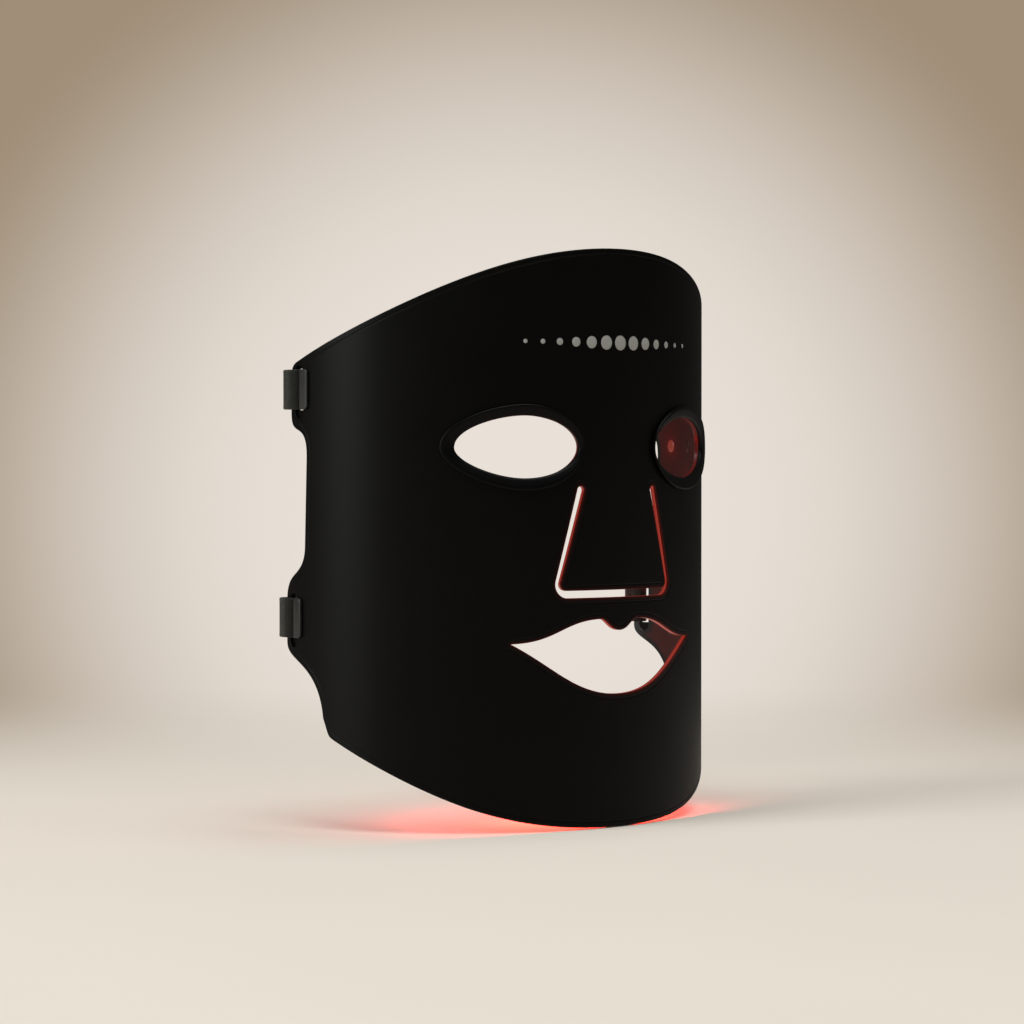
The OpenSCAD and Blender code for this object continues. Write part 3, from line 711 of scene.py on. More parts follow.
lit = stored(tree, "lit")
skirt = stored(tree, "skirt")
open_liner = math_of(tree, "SUBTRACT", 1.0, skirt)
edge_light = stored(tree, "edge_light")
light = math_of(tree, "ADD", glow(tree, distance, *SPOT), glow(tree, distance, *HALO))
light = math_of(tree, "ADD", math_of(tree, "MULTIPLY", light, lit), STRAY_LIGHT)
light = math_of(tree, "ADD", light, math_of(tree, "MULTIPLY", edge_light, EDGE_GLOW["liner"]))
tree.links.new(math_of(tree, "MULTIPLY", light, open_liner), shader.inputs["Emission Strength"])
cloud = object_noise(tree, 45, 2)
# Painted red-lit shade: the dark inside of the mask tinted red by its lights, with a random tone from the
# noise.
red_lit_shade = mixed(tree, cloud, paint("260907"), paint("320D0A"))
tree.links.new(mixed(tree, skirt, red_lit_shade, paint("0A0A09")), shader.inputs["Base Color"])
hot = math_of(tree, "MULTIPLY", glow(tree, distance, HOT_R, 1.0), lit)
hot = math_of(tree, "MAXIMUM", hot, math_of(tree, "MULTIPLY", edge_light, HOT_EDGE))
tree.links.new(mixed(tree, hot, paint("FF2414"), paint("FF6A54")), shader.inputs["Emission Color"])
tree.links.new(between(tree, cloud, 0.3, 0.4), shader.inputs["Roughness"])
bump(tree, shader, object_noise(tree, 900, 2), 0.00003, 0.4)

# %% [markdown]
# The webbing is woven polyester, brushed on both faces until a short nap stands up and closes the
# weave. The eye gets a dusty grey-black band with a soft bright rim, and only a trace of the
# 1.1 mm ribs. Sheen on the shader stands for the nap's standing hairs, and coarse noise for its
# uneven brushing.

# %% Webbing finish
brushed_webbing, tree, shader = finish_named(
    "brushed_polyester_webbing", Specular_IOR_Level=0.2, Roughness=0.95, Sheen_Weight=0.35,
    Sheen_Roughness=0.5, Sheen_Tint=paint("C9C9BD"))
flat_place = add(tree, "SeparateXYZ", {0: add(tree, "UVMap", uv_map="flat").outputs[0]})


def sine_share(tree, coordinate, pitch_mm):
    """Half of one plus the sine of the length over the pitch."""
    turns = math_of(tree, "MULTIPLY", coordinate, 2 * math.pi / (pitch_mm * MM))
    return math_of(tree, "MULTIPLY_ADD", math_of(tree, "SINE", turns), 0.5)


RIB_PITCH = (1.1, 0.9)      # along the band and across it
ribs = math_of(tree, "MULTIPLY", *(sine_share(tree, flat_place.outputs[k], RIB_PITCH[k]) for k in (0, 1)))
nap = object_noise(tree, 2600, 4, 0.7)
tufts = object_noise(tree, 420, 3, 0.6)
pile = math_of(tree, "ADD", math_of(tree, "MULTIPLY", ribs, 0.3), math_of(tree, "ADD", nap, tufts))
shade = between(tree, tufts, 0.0, 1.0)
tree.links.new(mixed(tree, shade, paint("0C0D0B"), paint("1E1F1B")), shader.inputs["Base Color"])
bump(tree, shader, pile, 0.00025, 0.9)

# %% [markdown]
# The strap's end is a moulded polyurethane tab: smoother than the webbing and a little lighter,
# with rounded edges that draw a thin bright line.

# %% Strap end finish
moulded_tab, tree, shader = finish_named("moulded_urethane_tab", Specular_IOR_Level=0.45, IOR=1.5)
cloud = object_noise(tree, 300, 3)
tree.links.new(mixed(tree, cloud, paint("161715"), paint("1F201D")), shader.inputs["Base Color"])
tree.links.new(between(tree, cloud, 0.38, 0.5), shader.inputs["Roughness"])
bump(tree, shader, object_noise(tree, 1800, 2), 0.00002, 0.4)

# %% [markdown]
# ## Electrical finishes
# Film circuit: amber polyimide with etched copper lines about 1 mm wide under it. Lights: small
# moulded lenses, lit red or the dark glass of infrared. Inlet: fine-blasted ABS housing, a
# nickel-plated shell, a nylon tongue, a green board and black moulded chips.

# %% Finishes of the circuit, the lights and the inlet
amber_film, tree, shader = finish_named("amber_polyimide_film", Specular_IOR_Level=0.5)
LINE_PITCH = 2.0
own_place = add(tree, "SeparateXYZ", {0: add(tree, "TexCoord").outputs["Object"]})
lines = sine_share(tree, own_place.outputs[2], LINE_PITCH)
copper = math_of(tree, "GREATER_THAN", lines, 0.55)
tree.links.new(mixed(tree, copper, paint("9C5A1E"), paint("C77B3E")), shader.inputs["Base Color"])
tree.links.new(between(tree, copper, 0.45, 0.28), shader.inputs["Roughness"])
bump(tree, shader, lines, 0.00003)

lit_lens, tree, shader = finish_named("red_lit_lens", Roughness=0.25, Emission_Strength=4.0)
cloud = object_noise(tree, 400, 1)
tree.links.new(mixed(tree, cloud, paint("FF3B25"), paint("FF5A3C")), shader.inputs["Base Color"])
tree.links.new(mixed(tree, cloud, paint("FF3220"), paint("FF4A30")), shader.inputs["Emission Color"])

dark_lens, tree, shader = finish_named("infrared_dark_lens", IOR=1.5)
cloud = object_noise(tree, 500, 2)
tree.links.new(mixed(tree, cloud, paint("1E1418"), paint("2C1E22")), shader.inputs["Base Color"])
tree.links.new(between(tree, cloud, 0.16, 0.26), shader.inputs["Roughness"])


def grained(name, low, high, rough_low, rough_high, scale, height, **constants):
    """A moulded or plated finish: two near colours and two roughnesses mixed by one noise, with bump."""
    material, tree, shader = finish_named(name, **constants)
    noise = object_noise(tree, scale, 3)
    tree.links.new(mixed(tree, noise, paint(low), paint(high)), shader.inputs["Base Color"])
    tree.links.new(between(tree, noise, rough_low, rough_high), shader.inputs["Roughness"])
    bump(tree, shader, noise, height, 0.5)
    return material


blasted_abs = grained("blasted_black_abs", "141414", "1C1C1B", 0.48, 0.6, 2200, 0.00003)
nickel_shell = grained(
    "nickel_plated_steel", "B9B6AE", "C9C7C0", 0.22, 0.34, 900, 0.000005, Metallic=1.0)
nylon_tongue = grained("black_nylon", "181818", "202020", 0.4, 0.5, 1500, 0.00001)
solder_mask = grained("green_solder_mask", "0E3A1C", "145026", 0.3, 0.42, 700, 0.00001)
moulded_epoxy = grained("moulded_epoxy_chip", "161616", "1F1F20", 0.5, 0.65, 3000, 0.00001)
pad_print = grained("grey_pad_print_ink", "8F908C", "A3A49F", 0.5, 0.62, 1800, 0.000005)

FINISH_OF = {
    "circuit": amber_film, "red_leds": lit_lens, "infrared_leds": dark_lens,
    "nose_flap_leds": lit_lens,
    "skin": moulded_silicone, "liner": clear_silicone, "eye_rim": polished_silicone,
    "nose_flap_skin": moulded_silicone, "nose_flap_liner": clear_silicone,
    "nose_flap_circuit": amber_film,
    "strap_loop": brushed_webbing, "strap_end": moulded_tab, "inlet_housing": blasted_abs,
    "inlet_socket": nickel_shell, "inlet_tongue": nylon_tongue, "inlet_board": solder_mask,
    "inlet_chips": moulded_epoxy,
}
for node_name, node_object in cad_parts.items():
    longest = max((k for k in FINISH_OF if node_name.startswith(k)), key=len)
    node_object.data.materials.clear()
    node_object.data.materials.append(FINISH_OF[longest])
print("finishes on", len(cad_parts), "carried-over nodes")

# %% [markdown]
# ## The skin and its liner
# One flat mesh serves both layers of each part. The skin takes the rounding of its outer edge and
# the moulded line; the liner takes the rounding of its inner edge. The front hangs on the face panel;
# the wing pieces and the nose flap are left in the frame.

# %% Dressing one flat mesh as skin and liner
LAYER_GAP = 0.02        # between the skin's inner face and the liner's outer face
LEAK_REACH = 0.35       # how far the red light carries into the material beside an opening
RIM_SHADE = 0.2         # share of it that passes the thick rim round an eye
SKIRT_W = 2.1


def dress(name, flat, body, nodes, blend_to=None, mirror=False):
    """Makes a part's skin and liner, hides the nodes they stand for, and hangs them on their body;
    given blend_to, it leaves them in the frame. The light at an edge falls as e to the minus (reach over the
    leak's reach)."""
    facts = flat[2]
    reach, kind = facts[:, 4], facts[:, 9]
    at_edge = (reach == 0).astype(float)
    n = len(facts)
    skin = bent_sheet(
        f"{name}_skin", flat,
        (facts[:, 5] + facts[:, 7], np.where(facts[:, 6] > 0, facts[:, 6], facts[:, 8])),
        (np.full(n, SKIN_T), at_edge), mirror)
    liner = bent_sheet(
        f"{name}_liner", flat,
        (np.full(n, SKIN_T + LAYER_GAP), at_edge), (WALL_T - facts[:, 5], facts[:, 6]), mirror)
    opening = (kind == OPENING) | (kind == EYE_EDGE)
    beside = np.where(opening, np.exp(-reach / LEAK_REACH), 0.0) * np.where(kind == EYE_EDGE, RIM_SHADE, 1.0)
    point_fact(skin, "edge_light", np.concatenate([beside * 0.5, beside * (kind == OPENING)]))
    point_fact(liner, "edge_light", np.concatenate([beside, beside * 0.6]))
    skirt = ((kind == PERIMETER) | (kind == SLOT_EDGE)) & (reach < SKIRT_W)
    point_fact(liner, "skirt", np.concatenate([skirt, skirt]))
    for piece, finish, slot in ((skin, moulded_silicone, "skin"), (liner, clear_silicone, "liner")):
        piece.data.materials.append(finish)
        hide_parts(*(f"nose_flap_{slot}" if part == "nose_flap" else f"{slot}_{part}"
                             for part in nodes))
        if slot == "liner" and name == "nose_flap":
            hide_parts("nose_flap_circuit")
        if blend_to:
            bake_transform(piece)
        else:
            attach(piece, body)
    return skin, liner


BEND_ARC, BEND_HALF, FLAP_BEND = 88.0, 15.0, 11.0
liners = {}
_, liners["front"] = dress("front", front_flat, "face_panel", ["front"])
ends = [place(0, FLAP_SEAM_Z), place(0, FLAP_SEAM_Z - FLAP_BEND)]
_, liners["nose_flap"] = dress("nose_flap", flap_flat, "face_panel", ["nose_flap"], ("nose_flap", *ends))
for side in ("right", "left"):
    sign = -1 if side == "right" else 1
    ends = [place(sign * (BEND_ARC + d), 105.0) for d in (-BEND_HALF, BEND_HALF)]
    _, liners[side] = dress(f"wing_{side}", wing_flat, "face_panel", [side],
                            (f"wing_{side}", *ends), mirror=side == "right")
print("skins and liners:", 2 * len(liners))

# %% [markdown]
# ## Eye rims
# Each rim is a soft raised ring moulded on the skin. It is drawn as one closed profile carried
# round the eye: crisp and high at the outer foot, sloping down to the opening, then over its edge
# and a little way inside. The profile's width follows the rim, which is wide at the temple and
# thin at the nose.

# %% A closed profile carried round a closed line


def carried(name, points):
    """Closed ring surface from points[along, round, xyz]: each cell joins to the next along and round."""
    along, around = points.shape[:2]
    a = np.arange(along)[:, None] * around
    b = np.roll(np.arange(along), -1)[:, None] * around
    i, j = np.arange(around)[None], np.roll(np.arange(around), -1)[None]
    faces = np.stack([a + i, b + i, b + j, a + j], -1).reshape(-1, 4)
    return mesh_object(name, points.reshape(-1, 3), [faces])


def face_outwards(obj):
    """Recalculates the normals of a closed piece so that they point outwards."""
    mesh = bmesh.new()
    mesh.from_mesh(obj.data)
    bmesh.ops.recalc_face_normals(mesh, faces=mesh.faces)
    mesh.to_mesh(obj.data)
    mesh.free()


# Share of the rim's width, millimetres towards the temple side of it, and height above the skin.
RIM_PROFILE = np.array([
    [1, 0.00, -0.05], [1, 0.00, 0.85], [0.99, 0, 1.2], [0.96, 0, 1.45], [0.9, 0, 1.58], [0.82, 0, 1.6],
    [0.66, 0, 1.48], [0.45, 0, 1.2], [0.22, 0, 0.88], [0.07, 0, 0.66], [0, -0.08, 0.45], [0, -0.24, 0.24],
    [0, -0.32, -0.05], [0, -0.32, -0.6], [0, -0.26, -0.72], [0, -0.03, -0.72], [0, -0.03, -0.05],
    [0.5, 0, -0.05]])


def eye_rim(side):
    """Point = opening + way out x (share x rim width + millimetres), raised by the height."""
    inner, outer = eye_loop(0), eye_loop(1)
    width = np.linalg.norm(outer - inner, axis=1)[:, None]
    way = (outer - inner) / width
    reach = RIM_PROFILE[None, :, 0] * width + RIM_PROFILE[None, :, 1]
    flat = inner[:, None] + way[:, None] * reach[..., None]
    arc = arc_near(EYE[0], flat[..., 0])
    points = place(arc, EYE[1] + flat[..., 1], np.broadcast_to(-RIM_PROFILE[:, 2], arc.shape))
    rim = carried(f"eye_rim_{side}_moulded", points * [-1 if side == "right" else 1, 1, 1])
    face_outwards(rim)
    rim.data.materials.append(polished_silicone)
    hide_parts(f"eye_rim_{side}")
    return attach(rim, "face_panel")


rims = [eye_rim(side) for side in ("right", "left")]
print("rim points:", len(rims[0].data.vertices))

# %% [markdown]
# ## Strap loops
# The webbing comes through the slot, turns round the tab's bar and runs back. It is drawn as a
# thick band carried along that closed path, with rounded, slightly swollen selvedges.

# %% Loops
BAND_W, BAND_T, LOOP_GAP, LOOP_REACH, STRAP_LIFT = 15.0, 1.2, 0.3, 4.4, 1.0
loop_inner_r = math.hypot(BAR_W, WALL_T) / 2 + LOOP_GAP
loop_mid_r = loop_inner_r + BAND_T / 2
loop_straight = BAR_W / 2 + LOOP_REACH - loop_inner_r - BAND_T


def band_profile():
    """Rounded section, as offset across the band and height: half circles at the swollen selvedges."""
    r = BAND_T / 2
    height = np.linspace(-BAND_W / 2 + r, BAND_W / 2 - r, 25)
    swell = r * (0.9 + 0.1 * (np.abs(height) / (BAND_W / 2 - r)) ** 12)
    turn = np.linspace(0, math.pi, 7)[1:-1]
    top = np.stack([r * np.cos(turn), height[-1] + r * np.sin(turn)], 1)
    front = np.stack([swell, height], 1)
    back = np.stack([-swell[::-1], height[::-1]], 1)
    return np.concatenate([front, top, back, [1, -1] * top[::-1]])


def loop_path():
    """Closed path round the bar and behind it, and its outward way: two half circles, two straights."""
    turn = np.linspace(math.pi / 2, 3 * math.pi / 2, 17)
    near = np.stack([np.cos(turn), np.sin(turn)], 1)
    straight = np.linspace(0, 1, 4)[1:-1, None] * [loop_straight, 0]
    far_turn = np.linspace(-math.pi / 2, math.pi / 2, 17)
    far = np.stack([np.cos(far_turn), np.sin(far_turn)], 1)
    down, up = np.array([[0.0, -1.0]]), np.array([[0.0, 1.0]])
    out = np.concatenate([near, np.repeat(down, 2, 0), far, np.repeat(up, 2, 0)])
    base = np.concatenate([0 * near, straight, far * 0 + [loop_straight, 0], straight[::-1]])
    return base + out * loop_mid_r, out


def strap_loop(level, side):
    """Plan point = bar's middle + path + section along the outward way, turned to the tab's heading."""
    path, out = loop_path()
    section = band_profile()
    bar_arc = np.array(TAB_ARC[level] - BAR_W / 2)
    middle, head = plan(bar_arc, WALL_T / 2), float(heading_at(bar_arc))
    turn = np.array([[math.cos(head), math.sin(head)], [-math.sin(head), math.cos(head)]])
    flat = (path[:, None] + out[:, None] * section[None, :, :1]) @ turn + middle
    z = np.broadcast_to(SLOT_Z[level] + STRAP_LIFT + section[:, 1], flat.shape[:2])
    points = np.concatenate([flat, z[..., None]], -1) * MM
    points[..., 0] *= -1 if side == "right" else 1
    loop = carried(f"strap_loop_{level}_{side}_webbing", points)
    length = np.concatenate([[0], np.cumsum(np.linalg.norm(np.diff(path, axis=0), axis=1))])
    flat_map(loop, np.stack(np.broadcast_arrays(length[:, None], section[None, :, 1]), -1).reshape(-1, 2))
    face_outwards(loop)
    loop.data.materials.append(brushed_webbing)
    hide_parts(f"strap_loop_{level}_{side}")
    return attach(loop, f"loop_{level}_{side}")


loops = [strap_loop(level, side) for level in TAB_ARC for side in ("right", "left")]
print("webbing loops:", len(loops))

# %% [markdown]
# ## Webs at the slot ends
# The slots are longer than the webbing is wide. A thin web of the black rubber closes each end
# halfway down the wall, and keeps the strap from sliding up and down.

# %% Webs
WEB_DEPTHS, WEB_BITE = (1.0, 2.2), 0.15


def slot_webs(level, side):
    """Closed slabs: the slot's outline beyond the strap's edge, a little into the wall, at two depths."""
    middle = np.array([TAB_ARC[level] - BAR_W - SLOT_W / 2, SLOT_Z[level]])
    grown = middle + (slot_line(level) - middle) * (1 + WEB_BITE / (SLOT_W / 2))
    verts, faces = [], []
    for sign in (-1, 1):
        edge_z = SLOT_Z[level] + STRAP_LIFT + sign * (BAND_W / 2 + LOOP_GAP)
        part = grown[(grown[:, 1] - edge_z) * sign > 0]
        part = part[np.argsort(part[:, 0])]
        part = np.concatenate([[[part[0, 0], edge_z]], part, [[part[-1, 0], edge_z]]])
        n, first = len(part), sum(len(v) for v in verts)
        verts += [place(part[:, 0], part[:, 1], d) for d in WEB_DEPTHS]
        i = np.arange(n)
        walls = np.stack([i, np.roll(i, -1), np.roll(i, -1) + n, i + n], 1)
        faces += [first + f for f in (i[None], i[None, ::-1] + n, walls[:, ::-1])]
    points = np.concatenate(verts) * [-1 if side == "right" else 1, 1, 1]
    web = mesh_object(f"slot_webs_{level}_{side}", points, faces)
    face_outwards(web)
    web.data.shade_flat()
    web.data.materials.append(moulded_silicone)
    point_fact(web, "edge_light", np.zeros(len(points)))
    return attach(web, f"wing_{side}")


webs = [slot_webs(level, side) for level in TAB_ARC for side in ("right", "left")]
print("slot webs:", len(webs))

# %% [markdown]
# ## Moulded hard pieces
# The strap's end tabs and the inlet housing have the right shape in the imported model, but real
# moulded edges are never sharp. A copy of each is merged, its flat faces are joined up, and a
# Bevel modifier rounds every edge.

# %% Eased copies


def eased(node_name, radius, body, finish):
    """A merged copy of a CAD node with its edges rounded."""
    mesh = bmesh.new()
    mesh.from_mesh(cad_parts[node_name].data)
    bmesh.ops.remove_doubles(mesh, verts=mesh.verts, dist=1e-6)
    bmesh.ops.dissolve_limit(mesh, angle_limit=math.radians(1), verts=mesh.verts, edges=mesh.edges)
    data = bpy.data.meshes.new(node_name + "_eased")
    mesh.to_mesh(data)
    mesh.free()
    data.shade_smooth()
    data.materials.append(finish)
    obj = bpy.data.objects.new(node_name + "_eased", data)
    bpy.context.scene.collection.objects.link(obj)
    bevel = obj.modifiers.new("eased_edges", "BEVEL")
    bevel.width, bevel.segments, bevel.angle_limit = radius * MM, 3, math.radians(28)
    bevel.harden_normals = True
    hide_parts(node_name)
    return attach(obj, body)


for level in TAB_ARC:
    for side in ("right", "left"):
        eased(f"strap_end_{level}_{side}", 0.3, f"wing_{side}", moulded_tab)
eased("inlet_housing", 0.5, "wing_left", blasted_abs)

# %% [markdown]
# ## Lens domes
# Over each light the liner swells into a low dome. Each is one small cap of four rings, so that
# over a hundred of them stay light, and it follows the sheet at its place.

# %% Domes on the inner side
DOME_R, DOME_H, DOME_SINK = 2.6, 0.55, 0.05
DOME_SIDES, DOME_RINGS = 12, 4
DOME_POINTS = DOME_SIDES * DOME_RINGS + 1
NOSE_ROWS = (97.5, 12.0)    # the nose flap's own first row of lights, and its step
LIGHT_DEPTH = 0.6           # of a light's middle, below the skin


def light_places(nodes):
    """Arc length and height of each light in some CAD nodes: every corner of their meshes is taken
    to its nearest lattice place, and each place counts once."""
    found = set()
    for n in nodes:
        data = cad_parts[n].data
        co = np.zeros(len(data.vertices) * 3, np.float32)
        data.vertices.foreach_get("co", co)
        co = co.reshape(-1, 3) / MM
        arcs = np.linspace(-125, 125, 2501)
        line = plan(arcs, SKIN_T + LIGHT_DEPTH)
        arc = arcs[np.argmin(((co[:, None, :2] - line[None]) ** 2).sum(-1), axis=1)]
        if n.startswith("nose_flap"):
            columns, (low, step) = np.full(len(arc), LED_START[0]), NOSE_ROWS
        else:
            columns = np.round((np.abs(arc) - LED_START[0]) / LED_PITCH[0]) * LED_PITCH[0] + LED_START[0]
            low, step = LED_START[1], LED_PITCH[1]
        rows = np.round((co[:, 2] - low) / step) * step + low
        found |= set(map(tuple, np.stack([np.sign(arc) * columns, rows], 1).tolist()))
    return np.array(sorted(found))


def stacked_rings(sides, rings):
    """Faces of one closed shape of stacked rings with a point on top: bands, tip and base."""
    i = np.arange(sides)
    after = (i + 1) % sides
    bands = np.concatenate([
        np.stack([k * sides + i, k * sides + after, (k + 1) * sides + after, (k + 1) * sides + i], 1)
        for k in range(rings - 1)])
    last = (rings - 1) * sides
    tip = np.stack([last + i, last + after, np.full(sides, rings * sides)], 1)
    return bands, tip, i[::-1][None]


def repeated(faces, count, points_each):
    """The same faces for each of a number of copies that follow each other in the list of points."""
    first = np.arange(count)[:, None, None] * points_each
    return [(part[None] + first).reshape(-1, part.shape[1]) for part in faces]


def domes(name, places, lit, cells=None):
    """Caps: ring radius = R sin(t), depth = wall + H cos(t) for t from a right angle to the pole."""
    cells = places if cells is None else cells
    turns = np.linspace(math.pi / 2, 0, DOME_RINGS + 1)[:-1]
    around = np.linspace(0, 2 * math.pi, DOME_SIDES + 1)[:-1]
    u = DOME_R * np.sin(turns)[:, None] * np.cos(around)
    v = DOME_R * np.sin(turns)[:, None] * np.sin(around)
    h = np.broadcast_to(DOME_H * np.cos(turns)[:, None], u.shape)
    u, v, h = (np.append(a.ravel(), last) for a, last in ((u, 0), (v, 0), (h, DOME_H)))
    depth = WALL_T - DOME_SINK + np.broadcast_to(h, (len(places), len(h)))
    points = place(places[:, :1] + u, places[:, 1:] + v, depth)
    faces = repeated(stacked_rings(DOME_SIDES, DOME_RINGS), len(places), DOME_POINTS)
    obj = mesh_object(name, points.reshape(-1, 3), faces)
    face_outwards(obj)
    flat_map(obj, np.repeat(cells, DOME_POINTS, 0))
    point_fact(obj, "lit", np.repeat(lit, DOME_POINTS))
    obj.data.materials.append(clear_silicone)
    return obj


BODY_OF = {"front": "face_panel", "right": "wing_right", "left": "wing_left"}
lit_cells = {}
for part, body in BODY_OF.items():
    red = light_places([f"red_leds_{part}"])
    dark = light_places([f"infrared_leds_{part}"])
    lit_cells[part] = red
    is_red = np.repeat([1.0, 0.0], [len(red), len(dark)])
    caps = domes(f"lens_domes_{part}", np.concatenate([red, dark]), is_red)
    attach(caps, body)
    print(part, len(red), "red and", len(dark), "infrared lights")
nose_lights = light_places(["nose_flap_leds"])


NOSE_ROW = 6    # the lattice row that stands for the nose flap's first


def nose_cells(flat):
    """Stretches the nose flap's own rows of lights onto the lattice, so that one finish serves both."""
    first = LED_START[1] + NOSE_ROW * LED_PITCH[1]
    rows = first + (flat[:, 1] - NOSE_ROWS[0]) * LED_PITCH[1] / NOSE_ROWS[1]
    return np.stack([flat[:, 0], rows], 1)


caps = domes("lens_domes_nose_flap", nose_lights, np.ones(len(nose_lights)), nose_cells(nose_lights))
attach(caps, "nose_flap")


def lattice_code(flat):
    """One number for each point's nearest lattice place: a hundred times its column, plus its row."""
    column = np.round((np.abs(flat[:, 0]) - LED_START[0]) / LED_PITCH[0])
    return column * 100 + np.round((flat[:, 1] - LED_START[1]) / LED_PITCH[1])


def mark_lit(piece, cells):
    """Marks the liner's points whose nearest lattice place carries a red light."""
    corner = np.zeros(len(piece.data.loops), np.int32)
    piece.data.loops.foreach_get("vertex_index", corner)
    uv = np.zeros(len(corner) * 2, np.float32)
    piece.data.uv_layers["flat"].data.foreach_get("uv", uv)
    flat = np.zeros((len(piece.data.vertices), 2))
    flat[corner] = uv.reshape(-1, 2) / MM
    point_fact(piece, "lit", np.isin(lattice_code(flat), lattice_code(cells)))


every_cell = np.concatenate(list(lit_cells.values()))
for part in BODY_OF:
    mark_lit(liners[part], every_cell)
nose_liner = liners["nose_flap"]
layer = nose_liner.data.uv_layers["flat"].data
uv = np.zeros(len(layer) * 2, np.float32)
layer.foreach_get("uv", uv)
layer.foreach_set("uv", (nose_cells(uv.reshape(-1, 2) / MM) * MM).astype(np.float32).ravel())
mark_lit(nose_liner, nose_cells(nose_lights))

# %% [markdown]
# ## Print on the forehead
# A pad-printed row of dots in pale grey ink, growing towards the middle. Each dot is a film of ink
# 0.03 mm thick that follows the skin.

# %% Printed dots
DOT_Z, DOT_COUNT, DOT_SPAN = 182.5, 13, 84.0
dot_arcs = np.linspace(-DOT_SPAN / 2, DOT_SPAN / 2, DOT_COUNT)
dot_r = 0.8 + 2.0 * np.cos(dot_arcs / DOT_SPAN * math.pi) ** 2
DOT_SIDES = 28
DOT_RINGS = ((0.0, 0.05), (0.0, -0.02), (-0.03, -0.03))     # spread and depth: foot, side, top
around = np.linspace(0, 2 * math.pi, DOT_SIDES + 1)[:-1]
rings = [place(dot_arcs[:, None] + (dot_r + spread)[:, None] * np.cos(around),
               DOT_Z + (dot_r + spread)[:, None] * np.sin(around), depth) for spread, depth in DOT_RINGS]
points = np.concatenate(rings + [place(dot_arcs[:, None], DOT_Z, DOT_RINGS[-1][1])], 1)
faces = repeated(stacked_rings(DOT_SIDES, len(DOT_RINGS)), DOT_COUNT, points.shape[1])
dots = mesh_object("forehead_print", points.reshape(-1, 3), faces)
dots.data.materials.append(pad_print)
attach(dots, "face_panel")
print("printed dots:", DOT_COUNT)

# %% [markdown]
# ## Floor, light and camera
# A pale floor in front of a pale background, one large soft light from the object's right side for
# the sheen down its flank, and very little from elsewhere, so the front stays nearly black.

# %% Floor
FLOOR_R, FLOOR_DROP, FADE = 2.6, 0.0002, (0.05, 0.75)   # metres; the fade is counted behind the mask
CAMERA_TURN = math.radians(41.85)
forward = np.array([math.sin(CAMERA_TURN), math.cos(CAMERA_TURN), 0.0])
right = np.array([math.cos(CAMERA_TURN), -math.sin(CAMERA_TURN), 0.0])
floor_finish, tree, shader = finish_named("matte_painted_board", Specular_IOR_Level=0.2, Roughness=0.7)
cloud = object_noise(tree, 6, 2)
tree.links.new(mixed(tree, cloud, paint("D6CEC2"), paint("DBD3C7")), shader.inputs["Base Color"])
bump(tree, shader, object_noise(tree, 900, 2), 0.0001, 0.2)
behind = add(tree, "VectorMath", {0: add(tree, "TexCoord").outputs["Object"], 1: forward.tolist()},
             operation="DOT_PRODUCT").outputs["Value"]
far = add(tree, "MapRange", {"Value": behind, "From Min": FADE[0], "From Max": FADE[1]},
          interpolation_type="SMOOTHSTEP").outputs[0]
shell = add(tree, "MixShader", {0: far, 1: shader.outputs[0], 2: add(tree, "BsdfTransparent").outputs[0]})
tree.links.new(shell.outputs[0], tree.nodes["Material Output"].inputs["Surface"])
turn = np.linspace(0, 2 * math.pi, 97)[:-1]
disc = np.stack([FLOOR_R * np.cos(turn), FLOOR_R * np.sin(turn), 0 * turn - FLOOR_DROP], 1)
floor = mesh_object("floor", disc, [np.arange(96)[None]])
floor.data.materials.append(floor_finish)

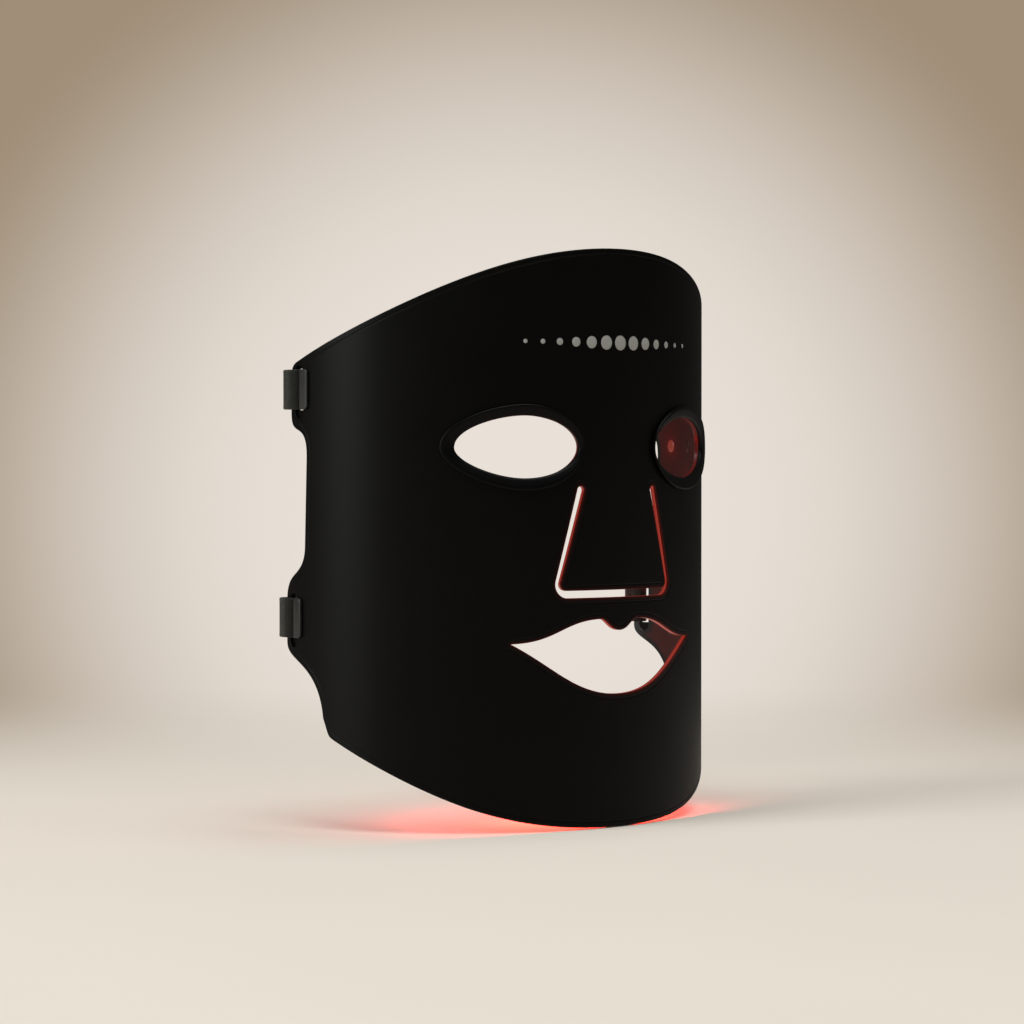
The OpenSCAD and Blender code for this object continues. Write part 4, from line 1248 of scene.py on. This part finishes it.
# %% Background
BRIGHT_WAY = (0.6671, 0.7448, -0.0165)  # the way to the brightest place of the wall, behind the mask
WALL_EDGE = 0.981                       # cosine of the angle from it at which the wall is darkest
world = bpy.data.worlds.new("pale_room")
bpy.context.scene.world = world
world.use_nodes = True
tree = world.node_tree
backdrop = tree.nodes["Background"]
facing = add(tree, "VectorMath", {0: add(tree, "TexCoord").outputs["Generated"], 1: BRIGHT_WAY},
             operation="DOT_PRODUCT").outputs[1]
from_middle = add(tree, "MapRange", {"Value": facing, "From Min": 1.0, "From Max": WALL_EDGE},
                  interpolation_type="SMOOTHSTEP").outputs[0]
tree.links.new(mixed(tree, from_middle, paint("E9E1D8"), paint("A08E78")), backdrop.inputs["Color"])
backdrop.inputs["Strength"].default_value = 1.0
dim = add(tree, "Background", {"Color": paint("D8D4CE"), "Strength": 0.12})
seen = add(tree, "LightPath").outputs["Is Camera Ray"]
room = add(tree, "MixShader", {0: seen, 1: dim.outputs[0], 2: backdrop.outputs[0]})
tree.links.new(room.outputs[0], tree.nodes["World Output"].inputs["Surface"])

# %% Lights
aim = Vector((0.0, 0.0, 0.11))


def soft_light(name, at, size, watts, colour="FFFFFF"):
    """A rectangular area light that faces the mask."""
    lamp = bpy.data.lights.new(name, "AREA")
    lamp.shape, lamp.size, lamp.size_y = "RECTANGLE", *size
    lamp.energy, lamp.color = watts, paint(colour)[:3]
    obj = bpy.data.objects.new(name, lamp)
    bpy.context.scene.collection.objects.link(obj)
    obj.location = at
    obj.rotation_euler = (aim - Vector(at)).to_track_quat("-Z", "Y").to_euler()
    return obj


soft_light("side_window", (-2.0, 0.35, 0.9), (1.0, 1.6), 33)
soft_light("overhead", (0.0, -0.5, 2.4), (2.0, 2.0), 60)

# The liner's red light, gathered into one lamp in the hollow, for the glow on the floor.
inner = soft_light("liner_light", (0.0, -0.018, 0.028), (0.07, 0.03), 0.22, "FF2A1A")
inner.rotation_euler = (0.0, 0.0, 0.0)
inner.visible_camera = False

# %% Camera
CAMERA_BACK, CAMERA_SIDE, CAMERA_Z, CAMERA_DOWN = 1226.8, 40.9, 139.0, math.radians(0.945)
at = np.array([0.0, -ORIGIN_Y, CAMERA_Z]) - CAMERA_BACK * forward - CAMERA_SIDE * right
camera_data = bpy.data.cameras.new("camera")
camera_data.lens, camera_data.sensor_width = 114.3, 36.0
camera = bpy.data.objects.new("camera", camera_data)
bpy.context.scene.collection.objects.link(camera)
camera.location = at * MM
camera.rotation_euler = (math.pi / 2 - CAMERA_DOWN, 0.0, -CAMERA_TURN)
bpy.context.scene.camera = camera
bpy.context.scene.view_settings.view_transform = "Standard"
print("camera", round(CAMERA_BACK * MM, 2), "m away")
